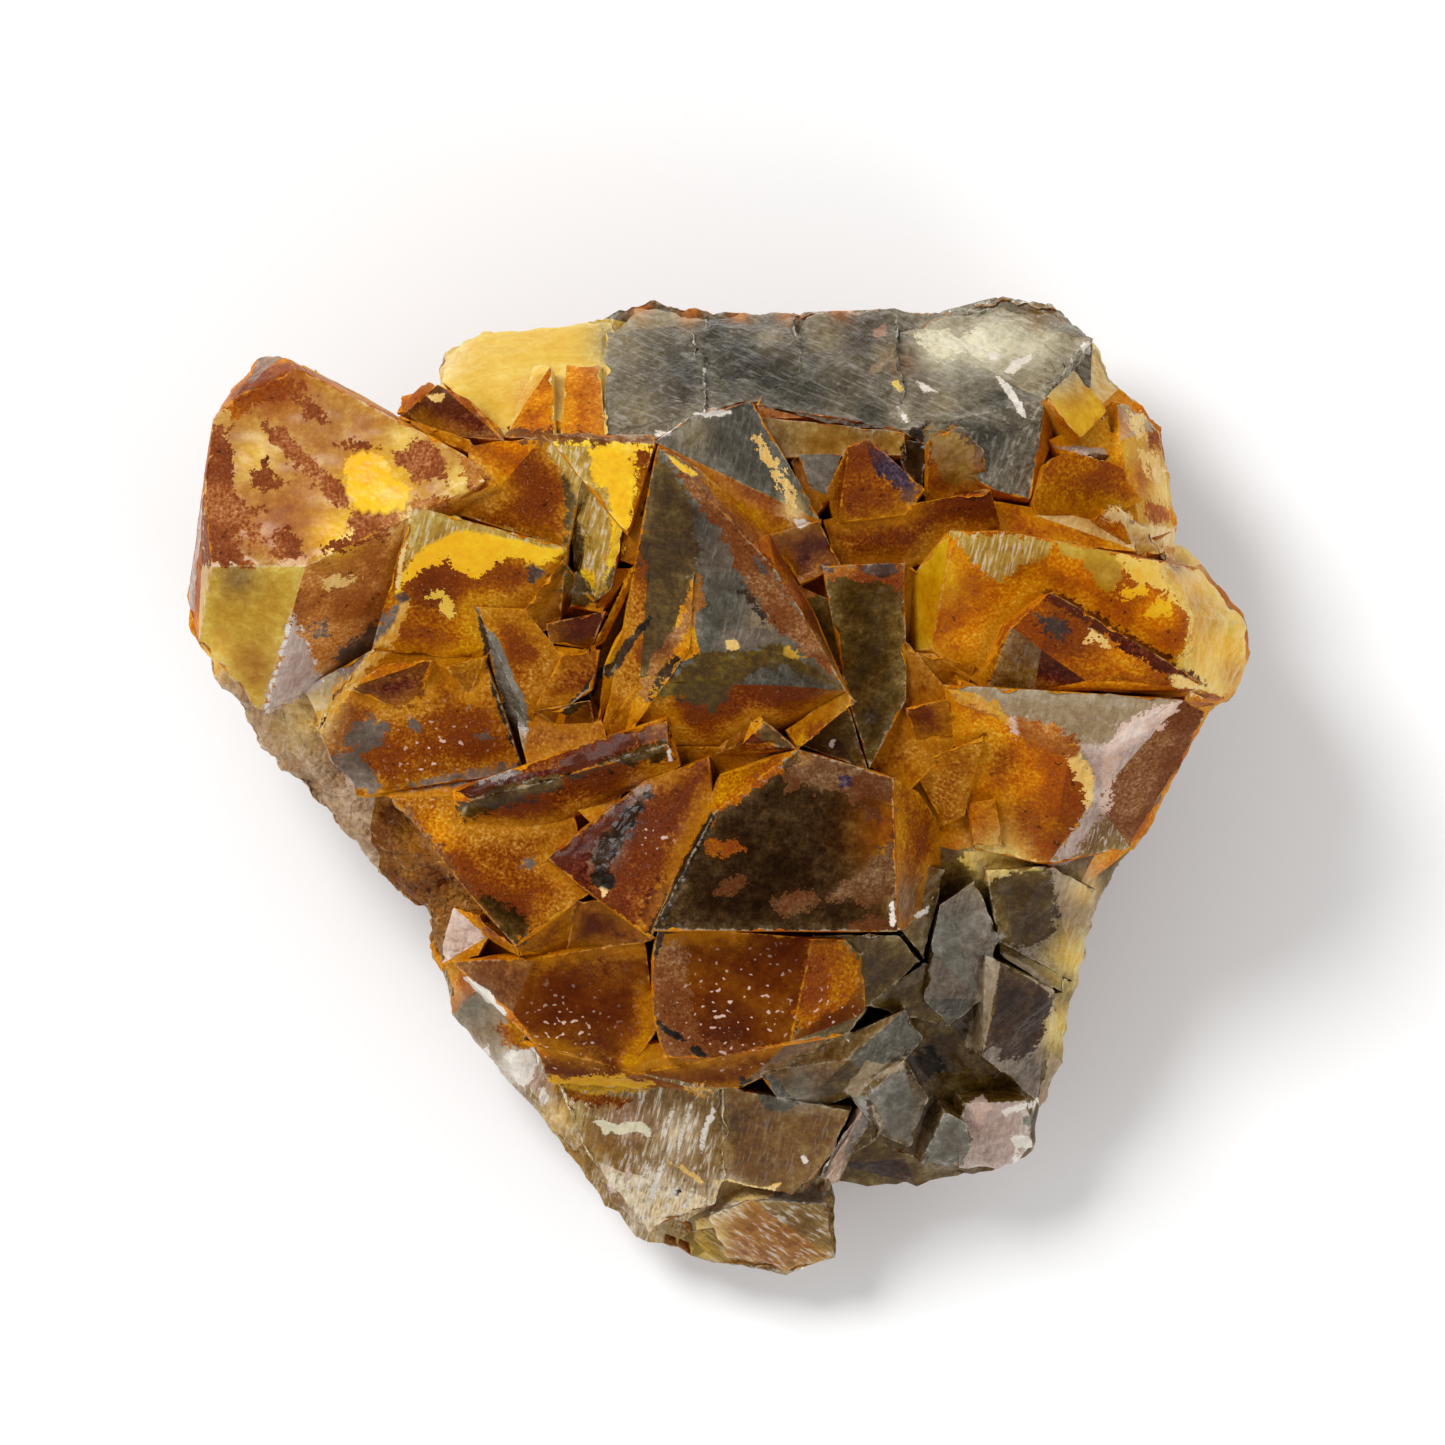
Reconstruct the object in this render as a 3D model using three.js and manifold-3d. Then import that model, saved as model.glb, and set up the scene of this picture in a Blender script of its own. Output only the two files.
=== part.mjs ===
// Fluorite crystal cluster: intergrown cubes on a mass of broken fluorite, all grown as one piece.
// Millimetres, +Z up. The specimen lies on its broken back with the crystal faces up.
// Origin: the middle of the plan extent, on the surface that it rests on.

import * as THREE from 'three';
import { ConvexGeometry } from 'three/addons/geometries/ConvexGeometry.js';
import { mergeVertices } from 'three/addons/utils/BufferGeometryUtils.js';
import Module from 'manifold-3d';

// Driving dimensions, in mm, and shares of them.
const WIDTH = 56.3;
const CROWN = 18.4;
const REST_SCALE = 0.52;
const LUMP_RADIUS = 4.8;
const SIDEWAYS_ROUGHNESS = 0.04;

// How a crystal is rooted: its greatest depth, the share of its height that the root takes at
// most, how far it widens downwards, and how far it leans in under the rim.
const ROOT_DEPTH = 9;
const ROOT_SHARE = 0.5;
const ROOT_FLARE = 0.04;
const ROOT_UNDERCUT = 0.16;

// Plan positions are measured from above in plan units, u to the right and v towards the front.
// The outline runs from PLAN_LEFT to PLAN_RIGHT and from PLAN_BACK to PLAN_FRONT.
const PLAN_LEFT = 184;
const PLAN_RIGHT = 1254;
const PLAN_BACK = 293;
const PLAN_FRONT = 1282;
const UNIT = WIDTH / (PLAN_RIGHT - PLAN_LEFT);
const PLAN_MIDDLE_U = (PLAN_LEFT + PLAN_RIGHT) / 2;
const PLAN_MIDDLE_V = (PLAN_BACK + PLAN_FRONT) / 2;
const RING_CENTRE = { u: 719, v: 760 };

// The mass between the crystals: where it starts to fall off to the front, by how much, and the
// places where it lies lower.
const CROWN_FRONT = 850;
const CROWN_SLOPE = 0.036;
const RIGHT_HOLLOW = { middleU: 960, middleV: 930, reach: 120, depth: 2 };
const LEFT_HOLLOW = { middleU: 390, middleV: 800, reach: 130, depth: 4.6 };

// Rows of broken lumps around the flanks: one for every LUMP_STEP corners of the outline, drawn in
// to the row's scale, at its height in mm.
const LUMP_STEP = 3;
const LUMP_ROWS = [{ scale: 0.84, z: 7.5 }, { scale: 0.78, z: 4.4 }, { scale: 0.6, z: 4 }];

// The outline of the specimen seen from above, clockwise from the left: u, v in plan units.
const OUTLINE = [
  [184, 600], [195, 535], [208, 460], [213, 420], [232, 385], [262, 356], [300, 362], [345, 386],
  [397, 414], [400, 394], [438, 382], [444, 352], [480, 328], [540, 330], [600, 315], [650, 298],
  [720, 312], [800, 309], [880, 306], [940, 309], [1000, 293], [1060, 302], [1095, 335], [1120, 388],
  [1165, 425], [1172, 490], [1181, 520], [1179, 541], [1205, 562], [1250, 622], [1254, 652],
  [1240, 692], [1215, 709], [1174, 784], [1157, 822], [1131, 851], [1101, 905], [1081, 935],
  [1083, 985], [1068, 1020], [1066, 1065],
  [1044, 1111], [1038, 1155], [996, 1179], [918, 1188], [838, 1192], [837, 1262], [787, 1281],
  [705, 1264], [647, 1247], [604, 1209], [549, 1136], [500, 1081], [451, 1016], [438, 975],
  [426, 945], [424, 915], [380, 885], [345, 840], [300, 795], [255, 740], [215, 675], [188, 625],
];

// Crystals and broken blocks, each a list of the faces that show. A face is a list of corners as
// u, v in plan units and z in mm. Its first three corners have a height and set its plane, and a
// corner with no height lies in that plane. Neighbours share heights where they meet in a crease.
const WEST = {
  table: [
    [[307, 567, 25], [213, 567, 23.9], [410, 505, 25], [205, 490], [213, 420], [238, 396], [298, 368],
      [385, 414], [465, 455], [486, 482]],
    [[307, 567, 25], [410, 505, 25], [405, 600, 19.3], [345, 690], [322, 680], [262, 712]],
    [[307, 567, 25], [213, 567, 23.9], [262, 712, 17.7], [258, 672], [220, 660], [199, 642]],
    [[193, 620, 18.6], [187, 600, 15.5], [197, 530, 18]],
    [[282, 355, 17.5], [258, 361, 16], [233, 387, 17]],
  ],
  front: [
    [[413, 506, 26], [568, 548, 25], [398, 590, 22.9], [372, 650], [476, 660], [560, 625]],
  ],
  lower: [
    [[345, 682, 19.5], [523, 771, 18.5], [357, 797, 17.1], [372, 650], [318, 732], [322, 745],
      [400, 790], [500, 700], [478, 640]],
  ],
  stub_left: [
    [[348, 688, 20.1], [385, 664, 21.2], [433, 660, 21.4]],
    [[404, 713, 18.9], [424, 692, 19.7], [433, 660, 21.4]],
  ],
  stub_right: [[[445, 667, 20.9], [487, 655, 21.5], [470, 698, 19.7]]],
};

const INNER_WEST = {
  brown_face: [
    [[470, 446, 25.8], [545, 437, 26.8], [568, 549, 24.4], [585, 470], [500, 528], [456, 514]],
  ],
  ochre_step: [
    [[462, 500, 25.2], [497, 484, 25.8], [500, 488, 25.2], [482, 515], [456, 513]],
  ],
  beside_crevice: [
    [[476, 607, 22.7], [525, 609, 22.9], [533, 711, 19.6], [530, 622], [562, 655], [528, 727]],
    [[482, 618, 22.1], [528, 727, 19.1], [500, 700, 18.7], [519, 762], [484, 655]],
  ],
  chip_upper: [[[563, 560, 25], [525, 610, 23.4], [530, 623, 22.4], [573, 613], [576, 575]]],
  chip_middle: [[[547, 624, 22.9], [606, 611, 24.1], [592, 650, 22.2], [550, 643]]],
  chip_lower: [[[562, 655, 22.2], [600, 650, 23.2], [533, 712, 20], [592, 690], [560, 712]]],
  chip_foot: [[[533, 711, 20.3], [590, 700, 21.6], [598, 742, 19], [560, 728]]],
  blade_a: [
    [[634, 566, 25.6], [592, 650, 22.4], [606, 640, 22.4]],
    [[634, 566, 25.6], [630, 590, 24.2], [606, 640, 22.4]],
  ],
  blade_b: [
    [[661, 500, 28], [669, 520, 27.4], [598, 744, 19.6], [671, 575], [651, 627], [620, 665]],
    [[661, 500, 28], [598, 744, 19.6], [630, 610, 24.6], [650, 568]],
  ],
  blade_c: [
    [[650, 585, 25.4], [604, 668, 22.8], [597, 735, 19.6], [615, 640, 23.6]],
  ],
  flake_strip: [
    [[694, 574, 27.4], [690, 650, 25.2], [622, 745, 20.6], [640, 668], [672, 590]],
  ],
  rough_column: [
    [[592, 440, 27.6], [624, 456, 28.2], [612, 590, 23.4], [630, 480], [619, 556], [594, 603]],
    [[592, 440, 27.6], [594, 603, 22.9], [574, 585, 22.4], [572, 520], [580, 470]],
  ],
  saddle: [
    [[545, 434, 26.9], [655, 436, 29.2], [622, 458, 28.4], [590, 446]],
    [[655, 436, 29.2], [655, 446, 30.2], [628, 536, 26.8], [634, 470]],
  ],
  flaky_side: [
    [[634, 462, 28], [657, 476, 28.6], [640, 566, 24.8], [655, 545], [620, 560]],
  ],
};

const MIDDLE = {
  floor: [
    [[560, 600, 21], [900, 560, 21.6], [900, 760, 18.7], [590, 760], [620, 830], [940, 830],
      [960, 600]],
  ],
  broken_peak: [
    [[658, 446, 30.5], [845, 690, 25.6], [700, 655, 25], [780, 640], [686, 476], [720, 510],
      [752, 544], [776, 572], [800, 610]],
    [[700, 470, 28], [768, 534, 25.8], [812, 610, 25], [850, 697, 24.2]],
    [[700, 655, 25], [780, 640, 26.2], [755, 711, 22.2], [667, 716], [600, 743], [709, 757],
      [786, 731]],
    [[658, 446, 30.5], [660, 600, 24.8], [640, 680, 23.2]],
  ],
  small_ochre: [[[785, 730, 22.4], [845, 688, 25.2], [798, 749, 23.6], [853, 702]]],
  dark_wedge: [
    [[755, 711, 22.6], [765, 722, 23.3], [709, 757, 19.9], [742, 744]],
    [[765, 722, 23.3], [742, 744, 22.2], [709, 757, 19.9], [797, 749, 22.9]],
  ],
  dark_cube: [
    [[652, 930, 22.4], [897, 931, 24], [893, 778, 23.8], [868, 770], [797, 749], [714, 812]],
    [[797, 749, 23.1], [714, 812, 22.6], [720, 774, 21.4]],
  ],
  arrow: [
    [[547, 858, 20.6], [645, 780, 20.9], [650, 937, 22], [709, 757], [714, 810], [590, 893]],
  ],
  bar: [
    [[470, 800, 20.6], [560, 778, 21.6], [667, 716, 22.5], [452, 789], [600, 745]],
    [[470, 800, 20.6], [668, 745, 22.8], [681, 766, 21.2], [600, 805, 19.4], [545, 832, 18.6],
      [458, 822, 18.6]],
  ],
  apron: [
    [[393, 798, 18.2], [547, 845, 19], [515, 948, 18.6], [445, 796], [575, 818], [590, 893],
      [450, 872]],
  ],
};

const FRONT_ROW = {
  facet_left: [[[484, 924, 17.2], [515, 947, 17.9], [520, 958, 16.4], [480, 934, 15.8]]],
  facet_middle: [[[516, 947, 17.9], [575, 902, 18.6], [566, 951, 16.7], [520, 957]]],
  facet_right: [[[574, 903, 18.6], [655, 937, 19.6], [566, 952, 16.8], [600, 900], [646, 943]]],
  cube_left: [
    [[535, 958, 17.2], [645, 940, 18.6], [536, 1047, 14.6], [652, 1000], [656, 1032], [628, 1071],
      [512, 1013]],
    [[535, 958, 17.2], [512, 1013, 15.4], [450, 962, 14.4], [500, 1005]],
  ],
  cube_right: [
    [[659, 925, 19.8], [813, 938, 20.6], [720, 1058, 17.2], [791, 1042], [665, 1059], [653, 1020],
      [651, 961]],
    [[813, 938, 20.6], [791, 1042, 17.8], [867, 1013, 16.2], [846, 940], [862, 955], [850, 1035]],
  ],
  ledge: [
    [[536, 1047, 14.4], [640, 1075, 14.8], [548, 1086, 12.4], [700, 1092, 13.2], [735, 1092, 13.4],
      [757, 1066, 14.6], [790, 1042, 16.4], [850, 1036, 15.4], [520, 1040, 13.4]],
  ],
};

const EAST = {
  upper_cube: [
    [[952, 534, 24.8], [1055, 541, 24.4], [930, 650, 22.2], [1000, 531], [1150, 560], [1190, 615],
      [1180, 690], [985, 690]],
    [[949, 531, 24.6], [930, 650, 22.2], [908, 651, 20.4], [906, 582]],
    [[1150, 560, 23.2], [1190, 615, 22], [1247, 624, 15.5], [1200, 568, 17.5]],
    [[1247, 660, 14.5], [1228, 700, 14.5], [1200, 690, 19]],
  ],
  crease_cubes: [
    [[916, 652, 22], [975, 666, 22], [918, 686, 20.6], [968, 684]],
  ],
  wedge: [
    [[1050, 592, 26.6], [1010, 628, 25.6], [1085, 681, 23.6], [1195, 690], [1202, 683]],
    [[1010, 628, 25.6], [1040, 650, 24.9], [985, 692, 21.2], [1034, 691]],
    [[1005, 624, 25], [974, 684, 20.8], [985, 692, 21.2]],
  ],
  lower_cube: [
    [[942, 684, 23.4], [1183, 699, 23], [1070, 745, 22.8], [1100, 748]],
    [[960, 705, 23], [1075, 745, 22.7], [1050, 865, 17.6], [1094, 800], [975, 850], [985, 735]],
    [[1183, 699, 23], [1104, 748, 22.6], [1131, 848, 16.4], [1207, 714], [1174, 778], [1100, 818]],
  ],
  stub: [[[905, 708, 22.6], [947, 699, 23.2], [955, 735, 21.4], [915, 742]]],
  brown_stub: [[[911, 764, 20.6], [984, 737, 22.6], [965, 815, 18.8], [943, 826]]],
  lower_stub: [[[970, 803, 20.2], [995, 799, 20.4], [1003, 845, 18.3], [973, 846]]],
  west_slope: [
    [[897, 780, 22.4], [918, 792, 20.4], [903, 932, 18], [945, 830], [958, 872], [884, 780],
      [884, 930]],
  ],
};

const BACK = {
  grey_plate: [[[845, 690, 22.6], [822, 566, 23.4], [905, 563, 22.6], [906, 700], [869, 768]]],
  brown_tip: [
    [[438, 384, 22.6], [404, 414, 21.2], [500, 427, 23.2], [470, 400]],
    [[404, 414, 21.2], [500, 427, 23.2], [442, 436, 22.4], [505, 442]],
  ],
  orange_tip: [[[397, 413, 19.4], [400, 396, 18.8], [438, 386, 21.6], [428, 381], [405, 414]]],
  yellow_mass: [
    [[446, 354, 14.5], [482, 331, 13], [605, 420, 21.8], [570, 322, 13], [612, 318, 13], [608, 438],
      [505, 441], [442, 382, 18.6]],
  ],
  orange_rib: [[[534, 364, 18.8], [552, 364, 19.4], [556, 440, 24], [504, 438, 22.9]]],
  orange_rib_wide: [[[566, 364, 18.6], [600, 362, 18.8], [606, 438, 24.2], [560, 440]]],
  grey_shoulder: [
    [[655, 443, 28.8], [752, 401, 23.8], [822, 522, 23.6], [690, 418], [802, 490]],
    [[655, 443, 28.8], [822, 522, 23.6], [768, 540, 24.2], [700, 476, 26.8]],
  ],
  bank_west: [
    [[606, 330, 14.4], [706, 320, 14.4], [652, 442, 25.6], [604, 440], [706, 414]],
    [[606, 330, 14.4], [706, 320, 14.4], [650, 304, 11.6]],
  ],
  bank_middle: [
    [[690, 330, 15.6], [800, 332, 16.4], [740, 402, 22], [700, 415, 22.6], [800, 400, 20.4]],
    [[690, 330, 15.6], [800, 332, 16.4], [720, 314, 12.2], [795, 312, 12.2]],
  ],
  bank_east: [
    [[800, 345, 16], [900, 335, 15.2], [905, 432, 20.8], [756, 405, 22.2]],
    [[800, 345, 16], [900, 335, 15.2], [806, 312, 12.2], [898, 312, 12.2]],
  ],
  ochre_band: [[[762, 418, 23], [905, 432, 22.4], [780, 458, 23], [845, 452], [906, 456]]],
  blue_corner: [[[798, 455, 23.4], [842, 454, 23.8], [829, 492, 22.4], [816, 505]]],
  brown_cube: [
    [[848, 446, 25.2], [868, 439, 25.2], [905, 516, 23], [925, 490], [838, 523]],
    [[848, 446, 25.2], [838, 523, 22.6], [826, 492, 22.4]],
  ],
  round_cube: [
    [[928, 440, 23.6], [962, 426, 23.2], [925, 505, 22], [985, 452], [988, 490]],
  ],
  row: [
    [[838, 524, 22.8], [905, 514, 23], [905, 571, 21.4], [990, 490], [1002, 530], [948, 534],
      [840, 573], [822, 520]],
  ],
  dark_row: [[[768, 535, 24.4], [819, 521, 24], [841, 566, 22.8], [800, 585]]],
  east_bank: [
    [[900, 330, 13.6], [1000, 330, 13], [990, 490, 22], [900, 430, 21], [1030, 500, 20.8]],
    [[900, 330, 13.6], [1000, 330, 13], [1000, 298, 9.6], [1045, 330, 13], [1056, 306, 10]],
    [[1045, 398, 18.8], [1092, 338, 12.5], [1000, 330, 13]],
  ],
  ochre_rhomb: [[[1045, 397, 19.8], [1075, 368, 17.8], [1108, 410, 17.4], [1080, 440]]],
  east_orange: [
    [[1032, 500, 20.8], [1048, 460, 21.2], [1142, 500, 18], [1075, 450], [1122, 465], [1100, 522],
      [1035, 515]],
  ],
  east_margin: [
    [[1118, 398, 15.8], [1162, 428, 12.8], [1145, 540, 17.4], [1170, 490, 12.8], [1176, 530, 12.8],
      [1100, 520, 19], [1120, 440, 17.6]],
  ],
  white_tablet: [
    [[1100, 514, 21.2], [1116, 505, 20.8], [1172, 554, 16.8], [1145, 525]],
    [[1100, 514, 21.2], [1172, 554, 16.8], [1138, 556, 18.6]],
  ],
};

const LOWER_RIGHT = {
  grey_spear: [
    [[975, 880, 17.4], [930, 950, 16], [950, 1030, 12.4], [940, 905], [924, 1000], [982, 1000]],
    [[975, 880, 17.4], [1000, 940, 15], [984, 1000, 13.4]],
  ],
  olive_wall: [
    [[903, 860, 18], [945, 870, 17.4], [903, 934, 17], [925, 960, 15.6]],
  ],
  dark_slab: [
    [[985, 870, 17.2], [1050, 866, 17], [1000, 945, 15], [1060, 940, 13.6]],
    [[1050, 866, 17], [1098, 890, 12.8], [1078, 935, 12.2], [1078, 985, 11]],
  ],
  ridge: [
    [[985, 955, 15.8], [982, 1058, 12.2], [998, 960, 15.6], [996, 1010, 13.8]],
    [[998, 960, 15.6], [1055, 990, 12.8], [1062, 1020, 9.6]],
    [[1010, 1065, 9.8], [1050, 1075, 8.6], [1040, 1105, 7.6]],
  ],
  plates: [
    [[905, 1060, 13.8], [845, 1092, 12.6], [868, 1098, 13.2]],
    [[905, 1060, 13.8], [868, 1098, 13.2], [885, 1140, 10.8], [912, 1150, 9.8], [930, 1100, 11.4]],
  ],
  plate_low: [[[866, 1104, 12.2], [820, 1180, 9], [838, 1190, 7.6], [870, 1128]]],
  plate_blue: [
    [[945, 1112, 10.8], [968, 1125, 10.6], [920, 1168, 7.6], [972, 1160]],
  ],
  chip: [
    [[965, 1105, 10.4], [1030, 1102, 9.4], [960, 1130, 8.8], [1036, 1150, 6.8], [1000, 1176, 5.8],
      [960, 1172, 6.2]],
  ],
  olive_step: [
    [[760, 1075, 14.2], [850, 1060, 14.6], [790, 1116, 12], [905, 1010, 15.2], [925, 1040, 13.2],
      [880, 1090, 12.4]],
  ],
};

const FRONT = {
  fibrous: [
    [[555, 1084, 12.3], [726, 1080, 12.9], [650, 1170, 9.6], [728, 1165], [590, 1165]],
    [[590, 1165, 8.8], [650, 1170, 9.6], [610, 1204, 6.4], [716, 1208, 8.6], [650, 1240, 5.4]],
  ],
  olive_block: [
    [[720, 1088, 13.2], [800, 1110, 12.5], [722, 1185, 9.4], [852, 1112], [832, 1160], [792, 1200]],
  ],
  foot: [
    [[708, 1222, 8.4], [750, 1202, 9], [786, 1277, 4.2], [830, 1206], [834, 1262, 4.8],
      [725, 1264, 4.8]],
  ],
};

const SIDE_GRAIN = {
  pale_grain: [
    [[427, 945, 12], [434, 922, 13.6], [452, 907, 15.2], [480, 915, 16.2], [487, 937, 15.8],
      [478, 956, 14.6], [438, 967, 12.2]],
  ],
};

// Small crystals low in the gaps between the large ones.
const BETWEEN = {
  beside_stub: [
    [[870, 700, 21.2], [952, 695, 21.6], [905, 795, 20.4], [955, 745], [868, 765], [905, 640]],
  ],
  under_chips: [[[514, 712, 19], [605, 730, 20.4], [528, 768, 19.6], [608, 748], [590, 690]]],
  between_chips: [[[550, 645, 21.7], [590, 650, 22], [562, 658, 21.6]]],
  behind_east_cube: [
    [[992, 500, 20.8], [1136, 528, 18.4], [1060, 545, 21], [995, 532], [1140, 552]],
  ],
  beside_table: [[[374, 648, 19.8], [346, 686, 18.6], [300, 690, 17.3], [318, 732]]],
  behind_table: [[[398, 416, 21.2], [480, 458, 23.8], [470, 440, 23.6], [436, 440]]],
  dark_gap: [[[845, 695, 22.6], [868, 770, 21.8], [802, 746, 22], [815, 715]]],
  beside_front_cube: [[[812, 936, 19.4], [900, 936, 17], [868, 1008, 15], [922, 962]]],
  above_step: [[[866, 1006, 15], [926, 962, 15], [952, 1030, 12.2], [900, 1014]]],
  under_slab: [[[1000, 946, 14.2], [1060, 940, 12.8], [1066, 996, 11.2], [1002, 958]]],
  beside_rhomb: [
    [[1048, 440, 18.6], [1080, 441, 17.8], [1110, 412, 16.4], [1120, 455], [1062, 456]],
  ],
  peak_foot: [[[668, 746, 20.2], [790, 748, 21.4], [712, 785, 19.2], [690, 775]]],
  beside_column: [[[575, 572, 23.2], [634, 568, 23.4], [602, 613, 22.2], [570, 608]]],
  beside_plate: [[[798, 585, 22.2], [830, 600, 22.6], [846, 692, 22.4], [812, 620]]],
  beside_shoulder: [[[790, 462, 22.4], [832, 498, 22.2], [812, 520, 22.6], [800, 455]]],
  black_notch: [[[893, 438, 22], [926, 444, 22.2], [908, 486, 21.6], [922, 488]]],
  under_lower: [[[370, 792, 16.8], [520, 768, 18], [450, 800, 17.6], [395, 800]]],
  behind_arrow: [[[572, 806, 19.6], [624, 792, 19.8], [602, 832, 19.6]]],
  behind_band: [[[757, 406, 22.2], [808, 418, 21.4], [762, 420, 22.4]]],
  under_wedge: [[[1100, 691, 22.6], [1190, 696, 20.8], [1195, 688, 21]]],
  wedge_foot: [[[1186, 688, 20.8], [1184, 700, 20.4], [1216, 704, 17.2]]],
  beside_wedge: [[[955, 676, 21.6], [988, 690, 21.6], [960, 690, 22.2]]],
};

const FLUORITE_BROWN = { color: 0x8a4a12, roughness: 0.42, metalness: 0 };

const wasm = await Module();
wasm.setup();

// Repeatable noise in 0..1 from two whole numbers.
function scatter(i, j) {
  const wave = Math.sin(i * 127.1 + j * 311.7) * 43758.5453;
  return wave - Math.floor(wave);
}

function toMillimetres([u, v, z]) {
  return new THREE.Vector3((u - PLAN_MIDDLE_U) * UNIT, (PLAN_MIDDLE_V - v) * UNIT, z);
}

// A closed geometry as a solid: only positions, with shared vertices merged.
function solidFrom(geometry) {
  const bare = geometry.clone();
  bare.deleteAttribute('normal');
  bare.deleteAttribute('uv');
  const merged = mergeVertices(bare, 1e-4);
  const mesh = new wasm.Mesh({
    numProp: 3,
    vertProperties: new Float32Array(merged.attributes.position.array),
    triVerts: new Uint32Array(merged.index.array),
  });
  return new wasm.Manifold(mesh);
}

// The corners of a face in mm, with those that have no height put on the plane of the first three.
function faceCorners(face) {
  const { normal, constant } = new THREE.Plane().setFromCoplanarPoints(
    ...face.slice(0, 3).map(toMillimetres),
  );
  return face.map(([u, v, z = 0], i) => {
    const corner = toMillimetres([u, v, z]);
    if (face[i].length === 2) {
      corner.z = -(normal.x * corner.x + normal.y * corner.y + constant) / normal.z;
    }
    return corner;
  });
}

// A crystal: the hull of its faces and of the same corners carried down into the mass.
function crystal(faces) {
  const tops = faces.flatMap(faceCorners);
  const centre = tops.reduce((sum, p) => sum.add(p), new THREE.Vector3()).divideScalar(tops.length);
  const roots = tops.map((top) => {
    const away = top.clone().sub(centre).setZ(0).normalize();
    const root = top.clone().addScaledVector(away, ROOT_FLARE * ROOT_DEPTH);
    const rimward = Math.hypot(top.x, top.y) / (WIDTH / 2);
    root.multiplyScalar(1 - ROOT_UNDERCUT * rimward ** 2);
    return root.setZ(top.z - Math.min(ROOT_DEPTH, ROOT_SHARE * top.z));
  });
  return solidFrom(new ConvexGeometry([...tops, ...roots]));
}

// How high the widest outline stands above the rest: high at the left, low at the front.
function beltHeight(u, v) {
  const frontness = THREE.MathUtils.smoothstep(v, 700, 1280);
  const leftness = THREE.MathUtils.smoothstep(-u, -600, -200);
  return THREE.MathUtils.lerp(10, 4.2, frontness) + 3 * leftness;
}

// How deep a hollow is at a place in plan: its depth in its middle, fading out over its reach.
function hollow(u, v, { middleU, middleV, reach, depth }) {
  return depth * Math.exp(-((u - middleU) ** 2 + (v - middleV) ** 2) / reach ** 2);
}

// How high the broken mass stands between the crystals: a plateau that falls off steeply to the
// back and evenly to the front, with a hollow at the lower left and one at the lower right.
function crownHeight(u, v) {
  const back = THREE.MathUtils.lerp(9, CROWN, THREE.MathUtils.smoothstep(v, 300, 440));
  const front = CROWN - Math.max(0, v - CROWN_FRONT) * CROWN_SLOPE;
  return Math.min(back, front) - hollow(u, v, RIGHT_HOLLOW) - hollow(u, v, LEFT_HOLLOW);
}

// A closed solid through rings of the outline: each is scaled about the middle and raised to its
// height, and its corners are scattered by its roughness. The last ring is capped at capHeight.
function ringSolid(rings, capHeight) {
  const { u: midU, v: midV } = RING_CENTRE;
  const points = rings.flatMap((ring, r) => OUTLINE.map(([edgeU, edgeV], i) => {
    const scale = ring.scale * (1 + SIDEWAYS_ROUGHNESS * ring.rough * (scatter(i, r) - 0.5));
    const u = midU + (edgeU - midU) * scale;
    const v = midV + (edgeV - midV) * scale;
    const lift = ring.rough * (scatter(i, r + rings.length) - 0.5);
    return toMillimetres([u, v, ring.height(u, v) + lift]);
  }));
  points.push(toMillimetres([midU, midV, 0]), toMillimetres([midU, midV, capHeight]));
  const count = OUTLINE.length;
  const bottom = points.length - 2;
  const top = points.length - 1;
  const last = (rings.length - 1) * count;
  const triangles = [];
  for (let i = 0; i < count; i += 1) {
    const next = (i + 1) % count;
    for (let low = 0; low < last; low += count) {
      const high = low + count;
      triangles.push([low + i, high + i, high + next], [low + i, high + next, low + next]);
    }
    triangles.push([bottom, i, next], [top, last + next, last + i]);
  }
  const geometry = new THREE.BufferGeometry().setFromPoints(points);
  geometry.setIndex(triangles.flat());
  return solidFrom(geometry);
}

// Lumps around the flanks and under the rim that end in flat cleavage faces.
function cleavageLumps() {
  const lumps = [];
  LUMP_ROWS.forEach(({ scale, z }, row) => {
    for (let i = row; i < OUTLINE.length; i += LUMP_STEP) {
      const [u, v] = OUTLINE[i];
      const lump = new THREE.OctahedronGeometry(LUMP_RADIUS * (0.7 + 0.7 * scatter(i, row + 20)));
      lump.scale(1, 0.8 + 0.5 * scatter(i, row + 24), 0.75);
      lump.rotateX(0.6 + 0.5 * scatter(i, row + 28));
      lump.rotateZ(0.4 + 0.9 * scatter(i, row + 32));
      const at = toMillimetres([
        RING_CENTRE.u + (u - RING_CENTRE.u) * scale,
        RING_CENTRE.v + (v - RING_CENTRE.v) * scale,
        z,
      ]);
      lump.translate(at.x, at.y, at.z);
      lumps.push(solidFrom(lump));
    }
  });
  return lumps;
}

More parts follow.
